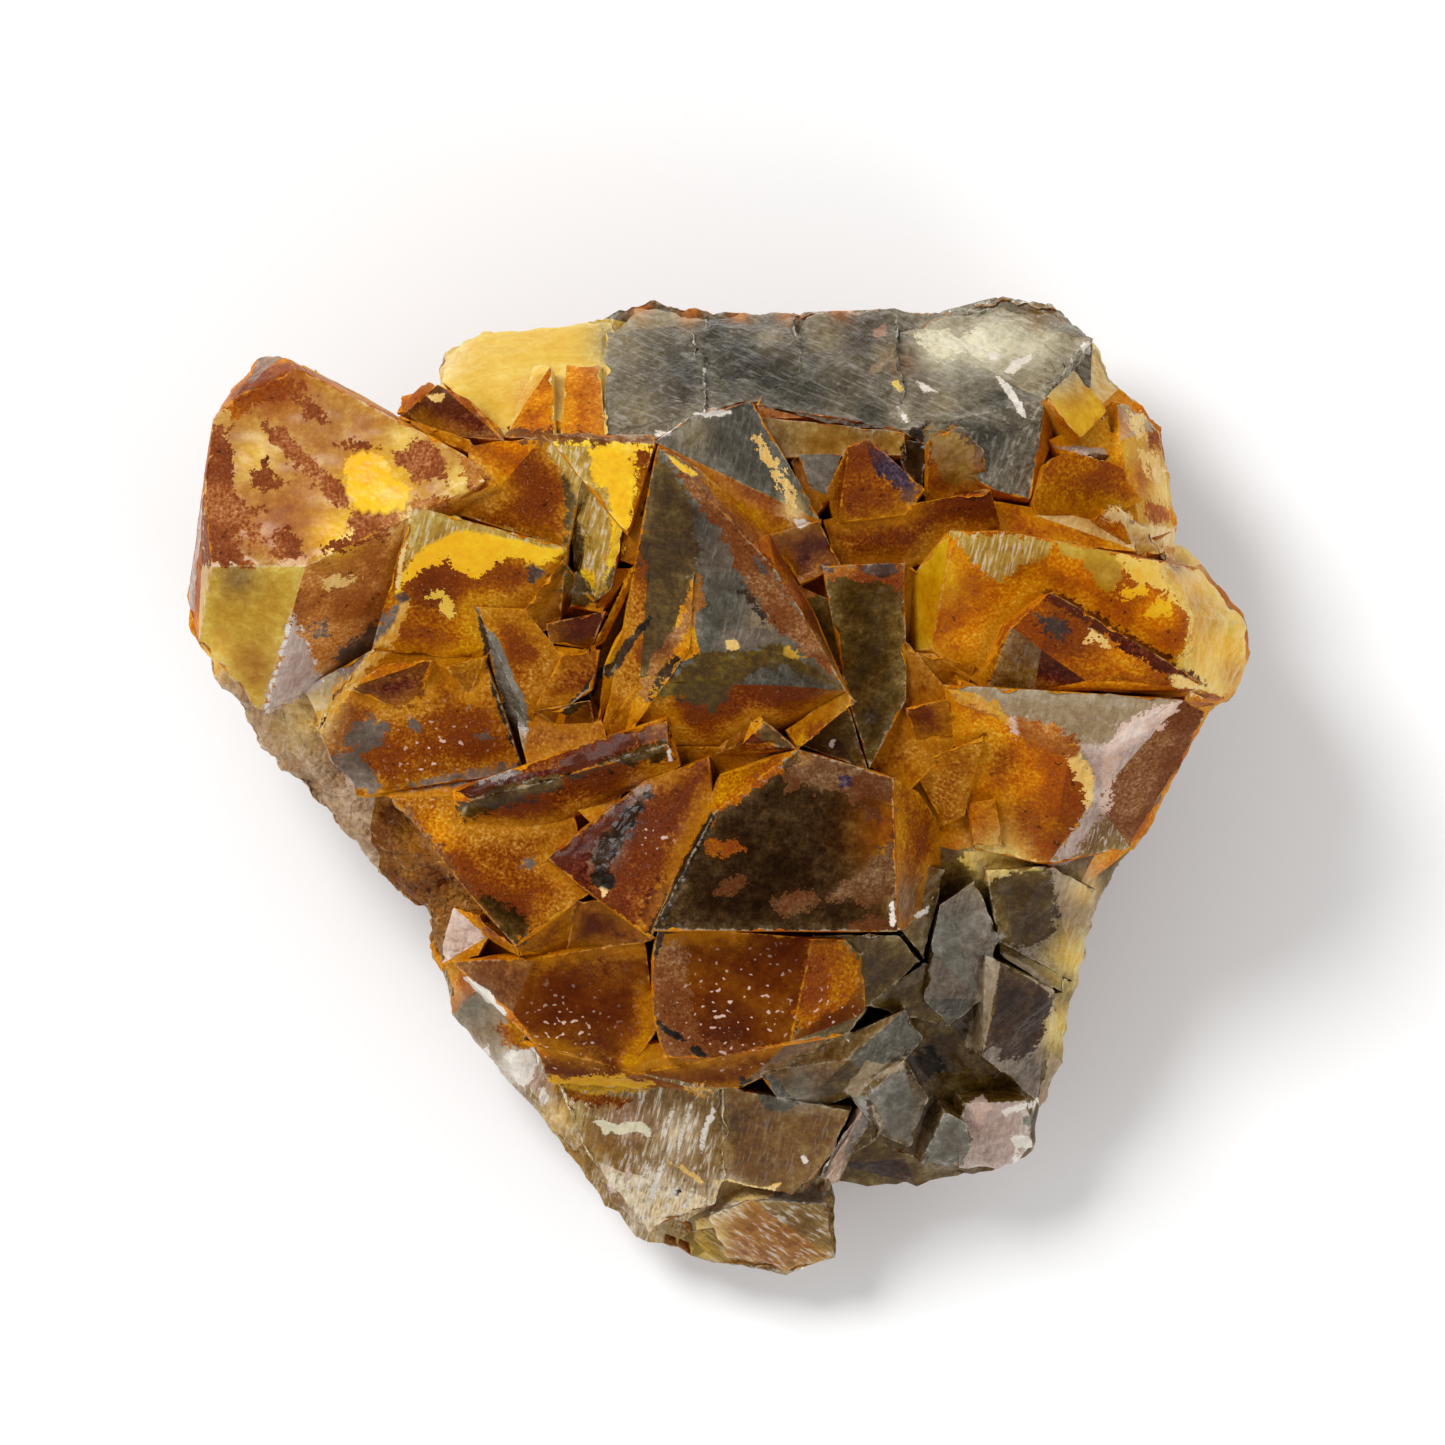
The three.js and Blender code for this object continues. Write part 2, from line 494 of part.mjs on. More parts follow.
// The broken mass under the crystals: a rough core with cleavage lumps, cut back to a smooth limit.
function brokenMass() {
  const between = (share) => (u, v) => (
    THREE.MathUtils.lerp(beltHeight(u, v), crownHeight(u, v), share)
  );
  const core = ringSolid([
    { scale: REST_SCALE, height: () => 0, rough: 0 },
    { scale: 0.76, height: () => 3, rough: 2 },
    { scale: 0.92, height: (u, v) => 0.65 * beltHeight(u, v), rough: 1.6 },
    { scale: 1, height: beltHeight, rough: 0 },
    { scale: 0.93, height: between(0.45), rough: 0.6 },
    { scale: 0.82, height: between(0.85), rough: 0.6 },
    { scale: 0.62, height: between(1), rough: 0.8 },
    { scale: 0.4, height: between(1), rough: 0.8 },
  ], CROWN - 2);
  const limit = ringSolid([
    { scale: REST_SCALE + 0.06, height: () => 0, rough: 0 },
    { scale: 0.94, height: () => 2.6, rough: 0 },
    { scale: 1, height: beltHeight, rough: 0 },
    { scale: 0.96, height: (u, v) => beltHeight(u, v) + 1.6, rough: 0 },
    { scale: 0.7, height: (u, v) => beltHeight(u, v) + 4, rough: 0 },
  ], 15);
  return cleavageLumps().reduce((mass, lump) => mass.add(lump.intersect(limit)), core);
}

function cluster() {
  const groups = [
    WEST, INNER_WEST, MIDDLE, FRONT_ROW, EAST, BACK, LOWER_RIGHT, FRONT, SIDE_GRAIN, BETWEEN,
  ];
  const crystals = groups.flatMap((group) => Object.values(group)).map(crystal);
  return crystals.reduce((mass, one) => mass.add(one), brokenMass());
}

function meshOf(name, solid, look) {
  const { vertProperties, triVerts, numProp } = solid.getMesh();
  const positions = new Float32Array((vertProperties.length / numProp) * 3);
  for (let i = 0; i * numProp < vertProperties.length; i += 1) {
    positions.set(vertProperties.subarray(i * numProp, i * numProp + 3), i * 3);
  }
  const geometry = new THREE.BufferGeometry();
  geometry.setAttribute('position', new THREE.BufferAttribute(positions, 3));
  geometry.setIndex(new THREE.BufferAttribute(new Uint32Array(triVerts), 1));
  const mesh = new THREE.Mesh(geometry, new THREE.MeshStandardMaterial(look));
  mesh.name = name;
  return mesh;
}

const part = new THREE.Group();
part.add(meshOf('fluorite_cluster', cluster(), FLUORITE_BROWN));

export default part;
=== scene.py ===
"""Fluorite crystal cluster: the looks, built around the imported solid. Metres, +Z up."""

import math

import bmesh
import bpy
import numpy as np
from mathutils import Euler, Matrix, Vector, noise
from mathutils.bvhtree import BVHTree
from mathutils.kdtree import KDTree


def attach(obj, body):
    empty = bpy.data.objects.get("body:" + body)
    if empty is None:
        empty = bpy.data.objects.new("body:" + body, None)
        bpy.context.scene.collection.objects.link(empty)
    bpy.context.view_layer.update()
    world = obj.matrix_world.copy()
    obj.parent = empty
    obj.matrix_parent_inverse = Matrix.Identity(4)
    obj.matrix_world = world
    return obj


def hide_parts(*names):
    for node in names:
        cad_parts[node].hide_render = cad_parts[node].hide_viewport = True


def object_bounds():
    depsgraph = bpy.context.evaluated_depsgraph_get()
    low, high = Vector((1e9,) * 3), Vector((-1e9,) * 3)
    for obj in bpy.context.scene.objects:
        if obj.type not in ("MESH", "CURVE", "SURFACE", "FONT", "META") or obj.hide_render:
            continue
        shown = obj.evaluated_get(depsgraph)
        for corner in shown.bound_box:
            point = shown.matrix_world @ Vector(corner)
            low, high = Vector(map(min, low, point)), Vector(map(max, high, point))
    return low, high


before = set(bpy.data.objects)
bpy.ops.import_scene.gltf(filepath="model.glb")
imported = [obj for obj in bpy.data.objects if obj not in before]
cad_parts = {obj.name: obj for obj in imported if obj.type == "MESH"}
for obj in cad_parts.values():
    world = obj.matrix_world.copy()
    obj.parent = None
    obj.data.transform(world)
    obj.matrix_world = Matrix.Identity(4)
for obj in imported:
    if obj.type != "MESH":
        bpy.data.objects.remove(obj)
cad_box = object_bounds()

# Plan units: u to the right and v towards the front, seen from above, as in the solid's source.
UNIT = 56.3 / 1070
MIDDLE_U = 719.0
MIDDLE_V = 787.5
PHOTO_SIZE = 1445
MM = 0.001

# Mesh: edge lengths in mm on the crystals and low on the back, and the heights between which one
# turns into the other.
FINE_EDGE = 0.36
COARSE_EDGE = 0.8
COARSE_BELOW = 5
FINE_ABOVE = 9

# Corners closer than this, in metres, are one.
WELD = 1e-7

# Angles in degrees: within a facet, of a sharp edge or a crease, and of an edge that shows wear.
FLAT_ANGLE = 0.8
SHARP_ANGLE = 16.0
RIDGE_ANGLE = 26.0

# Distances to edges, in mm: how far they are measured, how close the points along an edge lie,
# and how far from an edge it is worn.
EDGE_REACH = 2.0
EDGE_STEP = 0.15
WORN_REACH = 0.5

# The octahedral cleavage of the broken ground: how its directions lie, the size in mm and the
# height of its large and small faces, the level they are cut around, and the relief they need.
CLEAVAGE = (0.5, 0.35, 0.7)
CLEAVAGE_SIZES = ((2.6, 0.75), (1.1, 0.4))
CLEAVAGE_LEVEL = 0.6
CLEAVED_FROM = 0.12

# The gentle swell of every face, and how edges are worn down and chipped: heights in mm, and the
# scale of the noise behind them.
SWELL = 0.05
SWELL_SCALE = 0.5
WEAR = 0.03
CHIP = 0.5
CHIP_FROM = 0.05
CHIP_SCALE = 1.3

# What a surface looks like: colour, then bare (0 coated to 1 bare), clear (how much light goes
# through), rough (surface roughness), relief (how broken it is) and fibre (how fibrous it is).
# Most colours are fitted, so that the look's places have the photo's median colour in the render.
LOOKS = {
    "ochre": ("#8c4a00", 0.0, 0.0, 0.42, 0.05, 0.0),
    "orange": ("#b86001", 0.0, 0.0, 0.42, 0.05, 0.0),
    "amber_coat": ("#904600", 0.0, 0.0, 0.4, 0.05, 0.0),
    "coat": ("#783702", 0.0, 0.0, 0.42, 0.05, 0.0),
    "brown": ("#5e2301", 0.0, 0.0, 0.42, 0.05, 0.0),
    "dark_brown": ("#300601", 0.3, 0.0, 0.42, 0.05, 0.0),
    "glazed": ("#5c2801", 0.0, 0.0, 0.28, 0.0, 0.0),
    "sienna": ("#a86426", 0.0, 0.0, 0.42, 0.05, 0.0),
    "honey": ("#c08804", 0.6, 0.1, 0.3, 0.0, 0.0),
    "maroon": ("#3c0d02", 0.3, 0.0, 0.4, 0.05, 0.0),
    "flake": ("#804019", 0.0, 0.0, 0.44, 0.05, 0.0),
    "rust": ("#56371e", 0.1, 0.0, 0.36, 0.05, 0.0),
    "pink": ("#704220", 0.1, 0.0, 0.4, 0.05, 0.0),
    "purple": ("#30222e", 0.2, 0.0, 0.4, 0.05, 0.0),
    "dull": ("#60320e", 0.6, 0.05, 0.4, 0.1, 0.0),
    "amber_band": ("#8a601e", 0.8, 0.2, 0.3, 0.05, 0.0),
    "yellow": ("#a05c14", 1.0, 0.15, 0.3, 0.0, 0.0),
    "deep_yellow": ("#a46c1c", 1.0, 0.15, 0.3, 0.0, 0.0),
    "pale_yellow": ("#e6bc44", 1.0, 0.2, 0.3, 0.1, 0.0),
    "bright_yellow": ("#f2b80a", 1.0, 0.15, 0.25, 0.15, 0.0),
    "golden": ("#cc9026", 1.0, 0.15, 0.25, 0.3, 0.2),
    "olive_yellow": ("#bc8c1c", 1.0, 0.2, 0.22, 0.0, 0.0),
    "sparkle": ("#ac8226", 1.0, 0.2, 0.25, 0.7, 0.5),
    "cream": ("#eabe68", 1.0, 0.2, 0.32, 0.3, 0.2),
    # The next look is a painted glow: the bright colour of light shining through the stone's thin rims.
    "painted_glow": ("#ffcc48", 1.0, 0.3, 0.3, 0.3, 0.1),
    # The next look is painted glints: near-white colour standing in for light caught on small faces,
    # edges and fibres.
    "painted_glint": ("#d8cec0", 1.0, 0.05, 0.3, 0.2, 0.0),
    "frost": ("#ccab98", 1.0, 0.1, 0.3, 0.5, 0.1),
    "lilac": ("#605044", 0.8, 0.1, 0.3, 0.05, 0.0),
    "silver": ("#b19688", 1.0, 0.15, 0.25, 0.4, 0.2),
    "veil": ("#a68066", 1.0, 0.2, 0.25, 0.3, 0.4),
    "grey": ("#6e5d4b", 1.0, 0.3, 0.2, 0.3, 0.12),
    "mist": ("#d8cfb0", 1.0, 0.1, 0.3, 0.4, 0.1),
    "smoke": ("#635741", 1.0, 0.3, 0.22, 0.5, 0.2),
    "dark_smoke": ("#322e20", 1.0, 0.3, 0.2, 0.45, 0.15),
    "pale_smoke": ("#8c7c5a", 1.0, 0.25, 0.22, 0.5, 0.2),
    "pale_grey": ("#9c825e", 1.0, 0.3, 0.22, 0.3, 0.1),
    "dark_grey": ("#4c4536", 1.0, 0.3, 0.18, 0.25, 0.08),
    "slate": ("#625a4c", 1.0, 0.25, 0.18, 0.2, 0.0),
    "blue_grey": ("#6a6455", 1.0, 0.2, 0.18, 0.05, 0.0),
    "blue_black": ("#46332a", 0.9, 0.0, 0.25, 0.05, 0.0),
    "umber": ("#321e0e", 1.0, 0.15, 0.2, 0.2, 0.0),
    "olive": ("#704a18", 1.0, 0.25, 0.2, 0.2, 0.1),
    "dark_olive": ("#4a340e", 1.0, 0.15, 0.18, 0.15, 0.0),
    "olive_green": ("#4a3401", 1.0, 0.1, 0.18, 0.05, 0.0),
    "olive_black": ("#382408", 0.9, 0.05, 0.16, 0.0, 0.0),
    "soot": ("#2a1908", 0.9, 0.05, 0.18, 0.0, 0.0),
    "black": ("#160e06", 0.9, 0.0, 0.3, 0.2, 0.0),
    "amber": ("#8a6222", 1.0, 0.3, 0.2, 0.4, 0.7),
    "fibrous": ("#e4caa0", 1.0, 0.2, 0.2, 0.5, 1.0),
    "striated": ("#a46816", 1.0, 0.25, 0.25, 0.2, 0.6),
    "straw": ("#fcd05a", 1.0, 0.3, 0.28, 0.4, 0.3),
    "rock": ("#8c6238", 0.9, 0.05, 0.45, 0.8, 0.0),
    "rock_brown": ("#6c3c10", 0.5, 0.0, 0.45, 0.8, 0.0),
    "rock_pale": ("#a07c58", 1.0, 0.1, 0.4, 0.8, 0.1),
}

# Columns of the look table, after red, green, blue, bare, clear and rough.
RELIEF = 6
FIBRE = 7

# Facets by look, each named by a point of the plan on it, which for most is the middle of what
# shows of it from above. A later look takes over a facet that an earlier one names too.
FACETS = {
    "ochre": [(479, 500), (610, 618), (815, 722), (991, 664), (743, 778), (760, 520), (735, 513),
        (925, 715), (572, 738), (905, 775), (340, 700)],
    "honey": [(925, 598), (903, 600), (1076, 403), (1142, 466), (1161, 497)],
    "orange": [(1000, 620), (413, 396), (1007, 759), (583, 400), (536, 412), (1033, 818), (913, 656),
        (1104, 687), (985, 823), (1105, 432), (954, 718), (564, 800)],
    "amber_coat": [(458, 584), (1082, 487), (1071, 803), (755, 502), (1106, 673), (1146, 674),
        (1033, 623), (608, 680), (798, 716)],
    "coat": [(520, 490), (401, 723), (525, 655), (492, 863), (949, 779), (734, 725), (905, 755),
        (645, 605), (628, 707), (788, 579), (874, 485), (953, 465), (695, 838), (552, 741), (1060, 640),
        (941, 671), (924, 841), (639, 843)],
    "glazed": [(725, 991), (589, 1003), (823, 975), (649, 1061), (574, 1069), (629, 1084), (675, 1075),
        (839, 1003)],
    "brown": [(595, 750), (718, 700), (911, 530), (591, 784), (570, 679), (524, 802), (632, 779),
        (635, 528), (838, 487), (486, 816), (548, 937), (930, 720), (749, 750), (815, 635), (812, 500),
        (738, 766), (598, 818)],
    "dark_brown": [(394, 685), (805, 550), (572, 718), (601, 927), (467, 672), (552, 608), (732, 740),
        (768, 738), (529, 778), (1052, 673), (576, 631), (553, 592)],
    "maroon": [(461, 420), (428, 411)],
    "sienna": [(334, 600), (338, 650)],
    "pink": [(1145, 786), (1161, 737), (669, 656)],
    "dull": [(499, 977), (603, 443), (618, 438), (692, 475)],
    "amber_band": [(830, 438)],
    "yellow": [(316, 474), (990, 711)],
    "bright_yellow": [(611, 500), (599, 538), (611, 557)],
    "pale_yellow": [(537, 363), (512, 343), (456, 355), (489, 407), (529, 388), (1190, 656)],
    "olive_yellow": [(250, 622), (205, 566)],
    "sparkle": [(584, 544)],
    # These facets carry the painted glow of light shining through the thin rims.
    "painted_glow": [(1195, 599), (1224, 683), (1217, 647), (1198, 584), (1215, 630), (1232, 640), (1205, 660),
        (1240, 660), (1200, 612), (1136, 545), (1186, 556), (1151, 545)],
    "cream": [(1133, 528), (1102, 375), (1110, 539)],
    "frost": [(458, 937)],
    "silver": [(194, 570), (1125, 748), (1000, 1143), (1010, 1119), (977, 1152)],
    "veil": [(536, 1089), (526, 1058)],
    "pale_grey": [(1071, 711), (1133, 421), (1087, 764), (487, 1032), (1052, 1081), (1075, 913),
        (328, 690)],
    "smoke": [(835, 330), (753, 322), (867, 319), (652, 379), (949, 385), (853, 390), (1021, 463),
        (986, 434), (743, 354), (777, 371), (713, 382), (823, 360)],
    "pale_smoke": [(1060, 355), (996, 352), (981, 320), (653, 317)],
    "grey": [(259, 370), (507, 695), (971, 908), (972, 942), (945, 983), (1046, 956), (1036, 917),
        (988, 991), (1025, 1050), (846, 1153), (801, 1197)],
    "dark_grey": [(740, 453), (739, 592), (1011, 893), (878, 1050), (905, 1040), (902, 1102), (952, 1010),
        (734, 675)],
    # The small face at (819, 472) is blue-grey as a painted reflection of the light it catches.
    "blue_grey": [(819, 472), (949, 1143), (951, 951), (866, 1110)],
    "umber": [(887, 1172), (1016, 986), (1010, 1019)],
    "olive": [(776, 1142), (1016, 664), (842, 1047), (801, 1081), (962, 880), (872, 957), (791, 1057)],
    "dark_olive": [(870, 644), (911, 1015), (944, 1074), (959, 1045), (924, 921), (894, 966), (903, 949),
        (820, 609), (839, 1085), (661, 583), (927, 1137), (600, 598)],
    "soot": [(794, 854)],
    "olive_black": [(838, 740), (836, 728), (846, 755)],
    "black": [(908, 455)],
    "amber": [(665, 1129), (620, 1152), (804, 1223), (1091, 837)],
    "fibrous": [(652, 1204), (726, 1205)],
    "striated": [(764, 1228), (775, 1253), (739, 1254)],
}

# Zones for the facets with no look of their own: plan outlines. Outside them, a facet whose
# middle is higher than BELT, in mm, is coated, and a lower one is broken rock.
ZONES = {
    "smoke": [(600, 290), (1060, 285), (1125, 400), (1000, 432), (905, 432), (756, 405), (606, 432)],
    "pale_yellow": [(430, 310), (620, 300), (606, 432), (430, 400)],
    "rock_pale": [(180, 640), (330, 700), (370, 800), (380, 880), (180, 800)],
    "rock_brown": [(330, 700), (410, 800), (480, 900), (440, 960), (380, 900), (360, 800)],
    "dark_olive": [(900, 850), (1110, 870), (1085, 1060), (1050, 1200), (800, 1200), (790, 1050)],
    "amber": [(420, 960), (520, 1030), (740, 1095), (845, 1200), (845, 1300), (560, 1300)],
}
BELT = 9.0

# Facets lower than this, in mm, or that look down more than this, are broken rock in any zone.
ROCK_BELOW = 2
ROCK_UNDER = -0.2

# Where the rays that find the named facets start, in mm, above the whole solid.
RAY_START = 60

# How the fibres lean from the plan's v axis, in radians: everywhere, on the front block and on
# the broken bank at the back.
LEAN = 0.25
BLOCK_LEAN = -0.96
BLOCK = [(690, 1222), (750, 1200), (845, 1196), (850, 1290), (700, 1290)]
BANK_LEAN = -1.15

# Soft clouds of another look on the surface: look, then plan position and reach.
TINTS = [
    # The table at the left.
    ("pale_yellow", 255, 455, 30), ("bright_yellow", 378, 484, 36), ("bright_yellow", 335, 535, 24),
    ("pale_yellow", 458, 482, 18), ("pale_yellow", 404, 440, 14), ("deep_yellow", 330, 410, 46),
    ("amber_coat", 280, 388, 30), ("deep_yellow", 228, 430, 24), ("olive", 240, 575, 22),
    # The cloud at (215, 655) on the next line is a painted glow of light through the west rim.
    ("painted_glow", 215, 655, 20), ("deep_yellow", 255, 665, 26), ("cream", 305, 715, 30),
    # The back and the right edge.
    ("pale_smoke", 616, 342, 26), ("pale_smoke", 636, 412, 24), ("dark_smoke", 690, 372, 28),
    ("dark_smoke", 740, 352, 36), ("dark_smoke", 775, 384, 28), ("dark_smoke", 808, 388, 26),
    ("pale_smoke", 824, 328, 18), ("umber", 862, 338, 14), ("mist", 940, 348, 26), ("mist", 998, 344, 30),
    ("mist", 1040, 344, 24), ("pale_smoke", 1064, 372, 24), ("amber", 1040, 312, 16),
    ("olive", 905, 362, 16), ("dark_smoke", 992, 445, 30), ("pale_smoke", 940, 404, 18),
    ("pale_smoke", 694, 436, 18), ("pale_smoke", 884, 352, 10), ("pale_smoke", 900, 412, 10),
    ("dark_smoke", 868, 420, 18), ("dark_smoke", 712, 326, 20), ("pale_smoke", 770, 336, 12),
    ("dark_smoke", 730, 402, 18), ("dark_smoke", 1000, 400, 14), ("dark_smoke", 960, 430, 20),
    ("orange", 640, 304, 12), ("orange", 690, 308, 12), ("orange", 740, 308, 12),
    ("orange", 790, 306, 12), ("orange", 840, 306, 12), ("dark_grey", 760, 450, 34),
    ("cream", 792, 512, 12), ("maroon", 470, 425, 22), ("cream", 440, 345, 30), ("orange", 540, 400, 24),
    # The cloud at (1165, 490) on the next line is a painted glow of light through the rim.
    ("orange", 1115, 430, 22), ("orange", 1135, 480, 20), ("painted_glow", 1165, 490, 14),
    # The clouds on this line and the next colour the painted glow of light through the east rim.
    ("bright_yellow", 1225, 652, 22), ("golden", 1212, 618, 20), ("olive_yellow", 1196, 604, 11),
    ("cream", 1190, 572, 20), ("golden", 1236, 676, 18), ("olive", 1176, 566, 10),
    # The crystals.
    ("amber_coat", 470, 640, 40), ("brown", 430, 590, 30), ("coat", 520, 590, 30),
    ("dark_brown", 600, 945, 30), ("ochre", 640, 1040, 18), ("dark_brown", 590, 1055, 24),
    ("dark_brown", 720, 1035, 26), ("ochre", 900, 830, 40), ("ochre", 1015, 560, 34),
    ("orange", 1130, 606, 44), ("orange", 1165, 640, 34), ("orange", 1120, 650, 20),
    ("orange", 960, 620, 34), ("honey", 940, 580, 26), ("olive_black", 862, 660, 60),
    ("ochre", 1010, 820, 30), ("brown", 1000, 760, 20), ("ochre", 1060, 830, 24),
    ("maroon", 500, 920, 26), ("orange", 440, 830, 22), ("brown", 520, 850, 34),
    ("dark_grey", 602, 850, 18), ("umber", 622, 812, 16), ("lilac", 640, 792, 9),
    ("olive_black", 682, 520, 20), ("amber_coat", 657, 525, 13), ("grey", 722, 556, 26),
    ("pale_grey", 764, 622, 16), ("ochre", 1080, 500, 30), ("orange", 660, 740, 26),
    # The lower right.
    ("olive", 905, 900, 26), ("blue_grey", 960, 930, 24), ("pale_grey", 1070, 900, 26),
    ("cream", 1085, 890, 16), ("straw", 1075, 960, 26), ("straw", 1065, 1030, 22),
    ("slate", 905, 1115, 22), ("slate", 945, 1150, 20), ("umber", 925, 1070, 22),
    ("straw", 1000, 862, 26), ("blue_grey", 800, 1090, 20),
    # The bottom.
    ("veil", 628, 1124, 20), ("fibrous", 662, 1196, 26), ("fibrous", 684, 1218, 20),
    # The near-white cloud at (510, 1070) on the next line is a painted glint.
    ("fibrous", 678, 1136, 20), ("fibrous", 640, 1226, 16), ("painted_glint", 510, 1070, 18),
    ("amber_band", 602, 1150, 24), ("cream", 556, 1118, 22), ("amber_band", 575, 1165, 20),
    ("dark_olive", 728, 1126, 16), ("olive", 790, 1150, 26), ("fibrous", 722, 1198, 16),
    ("cream", 700, 1232, 18), ("cream", 660, 1234, 14), ("straw", 700, 1250, 20),
    ("blue_grey", 470, 1010, 20),
]

# How strong the clouds are at most. They and the stain of the walls fade over heights in mm and
# over how far a face looks up, each from nothing to full.
TINT_SHARE = 0.85
TINT_HEIGHTS = (2, 5)
TINT_SLOPES = (0, 0.2)
STAIN_HEIGHTS = (BELT + 1, BELT - 3)
STAIN_SLOPES = (0.45, 0.15)

# Patches and marks are measured this far out, in plan units, and lie on faces that look up more
# than this and are higher than this, in mm.
PATCH_REACH = 30.0
PATCH_SLOPE = 0.12
PATCH_ABOVE = BELT - 3

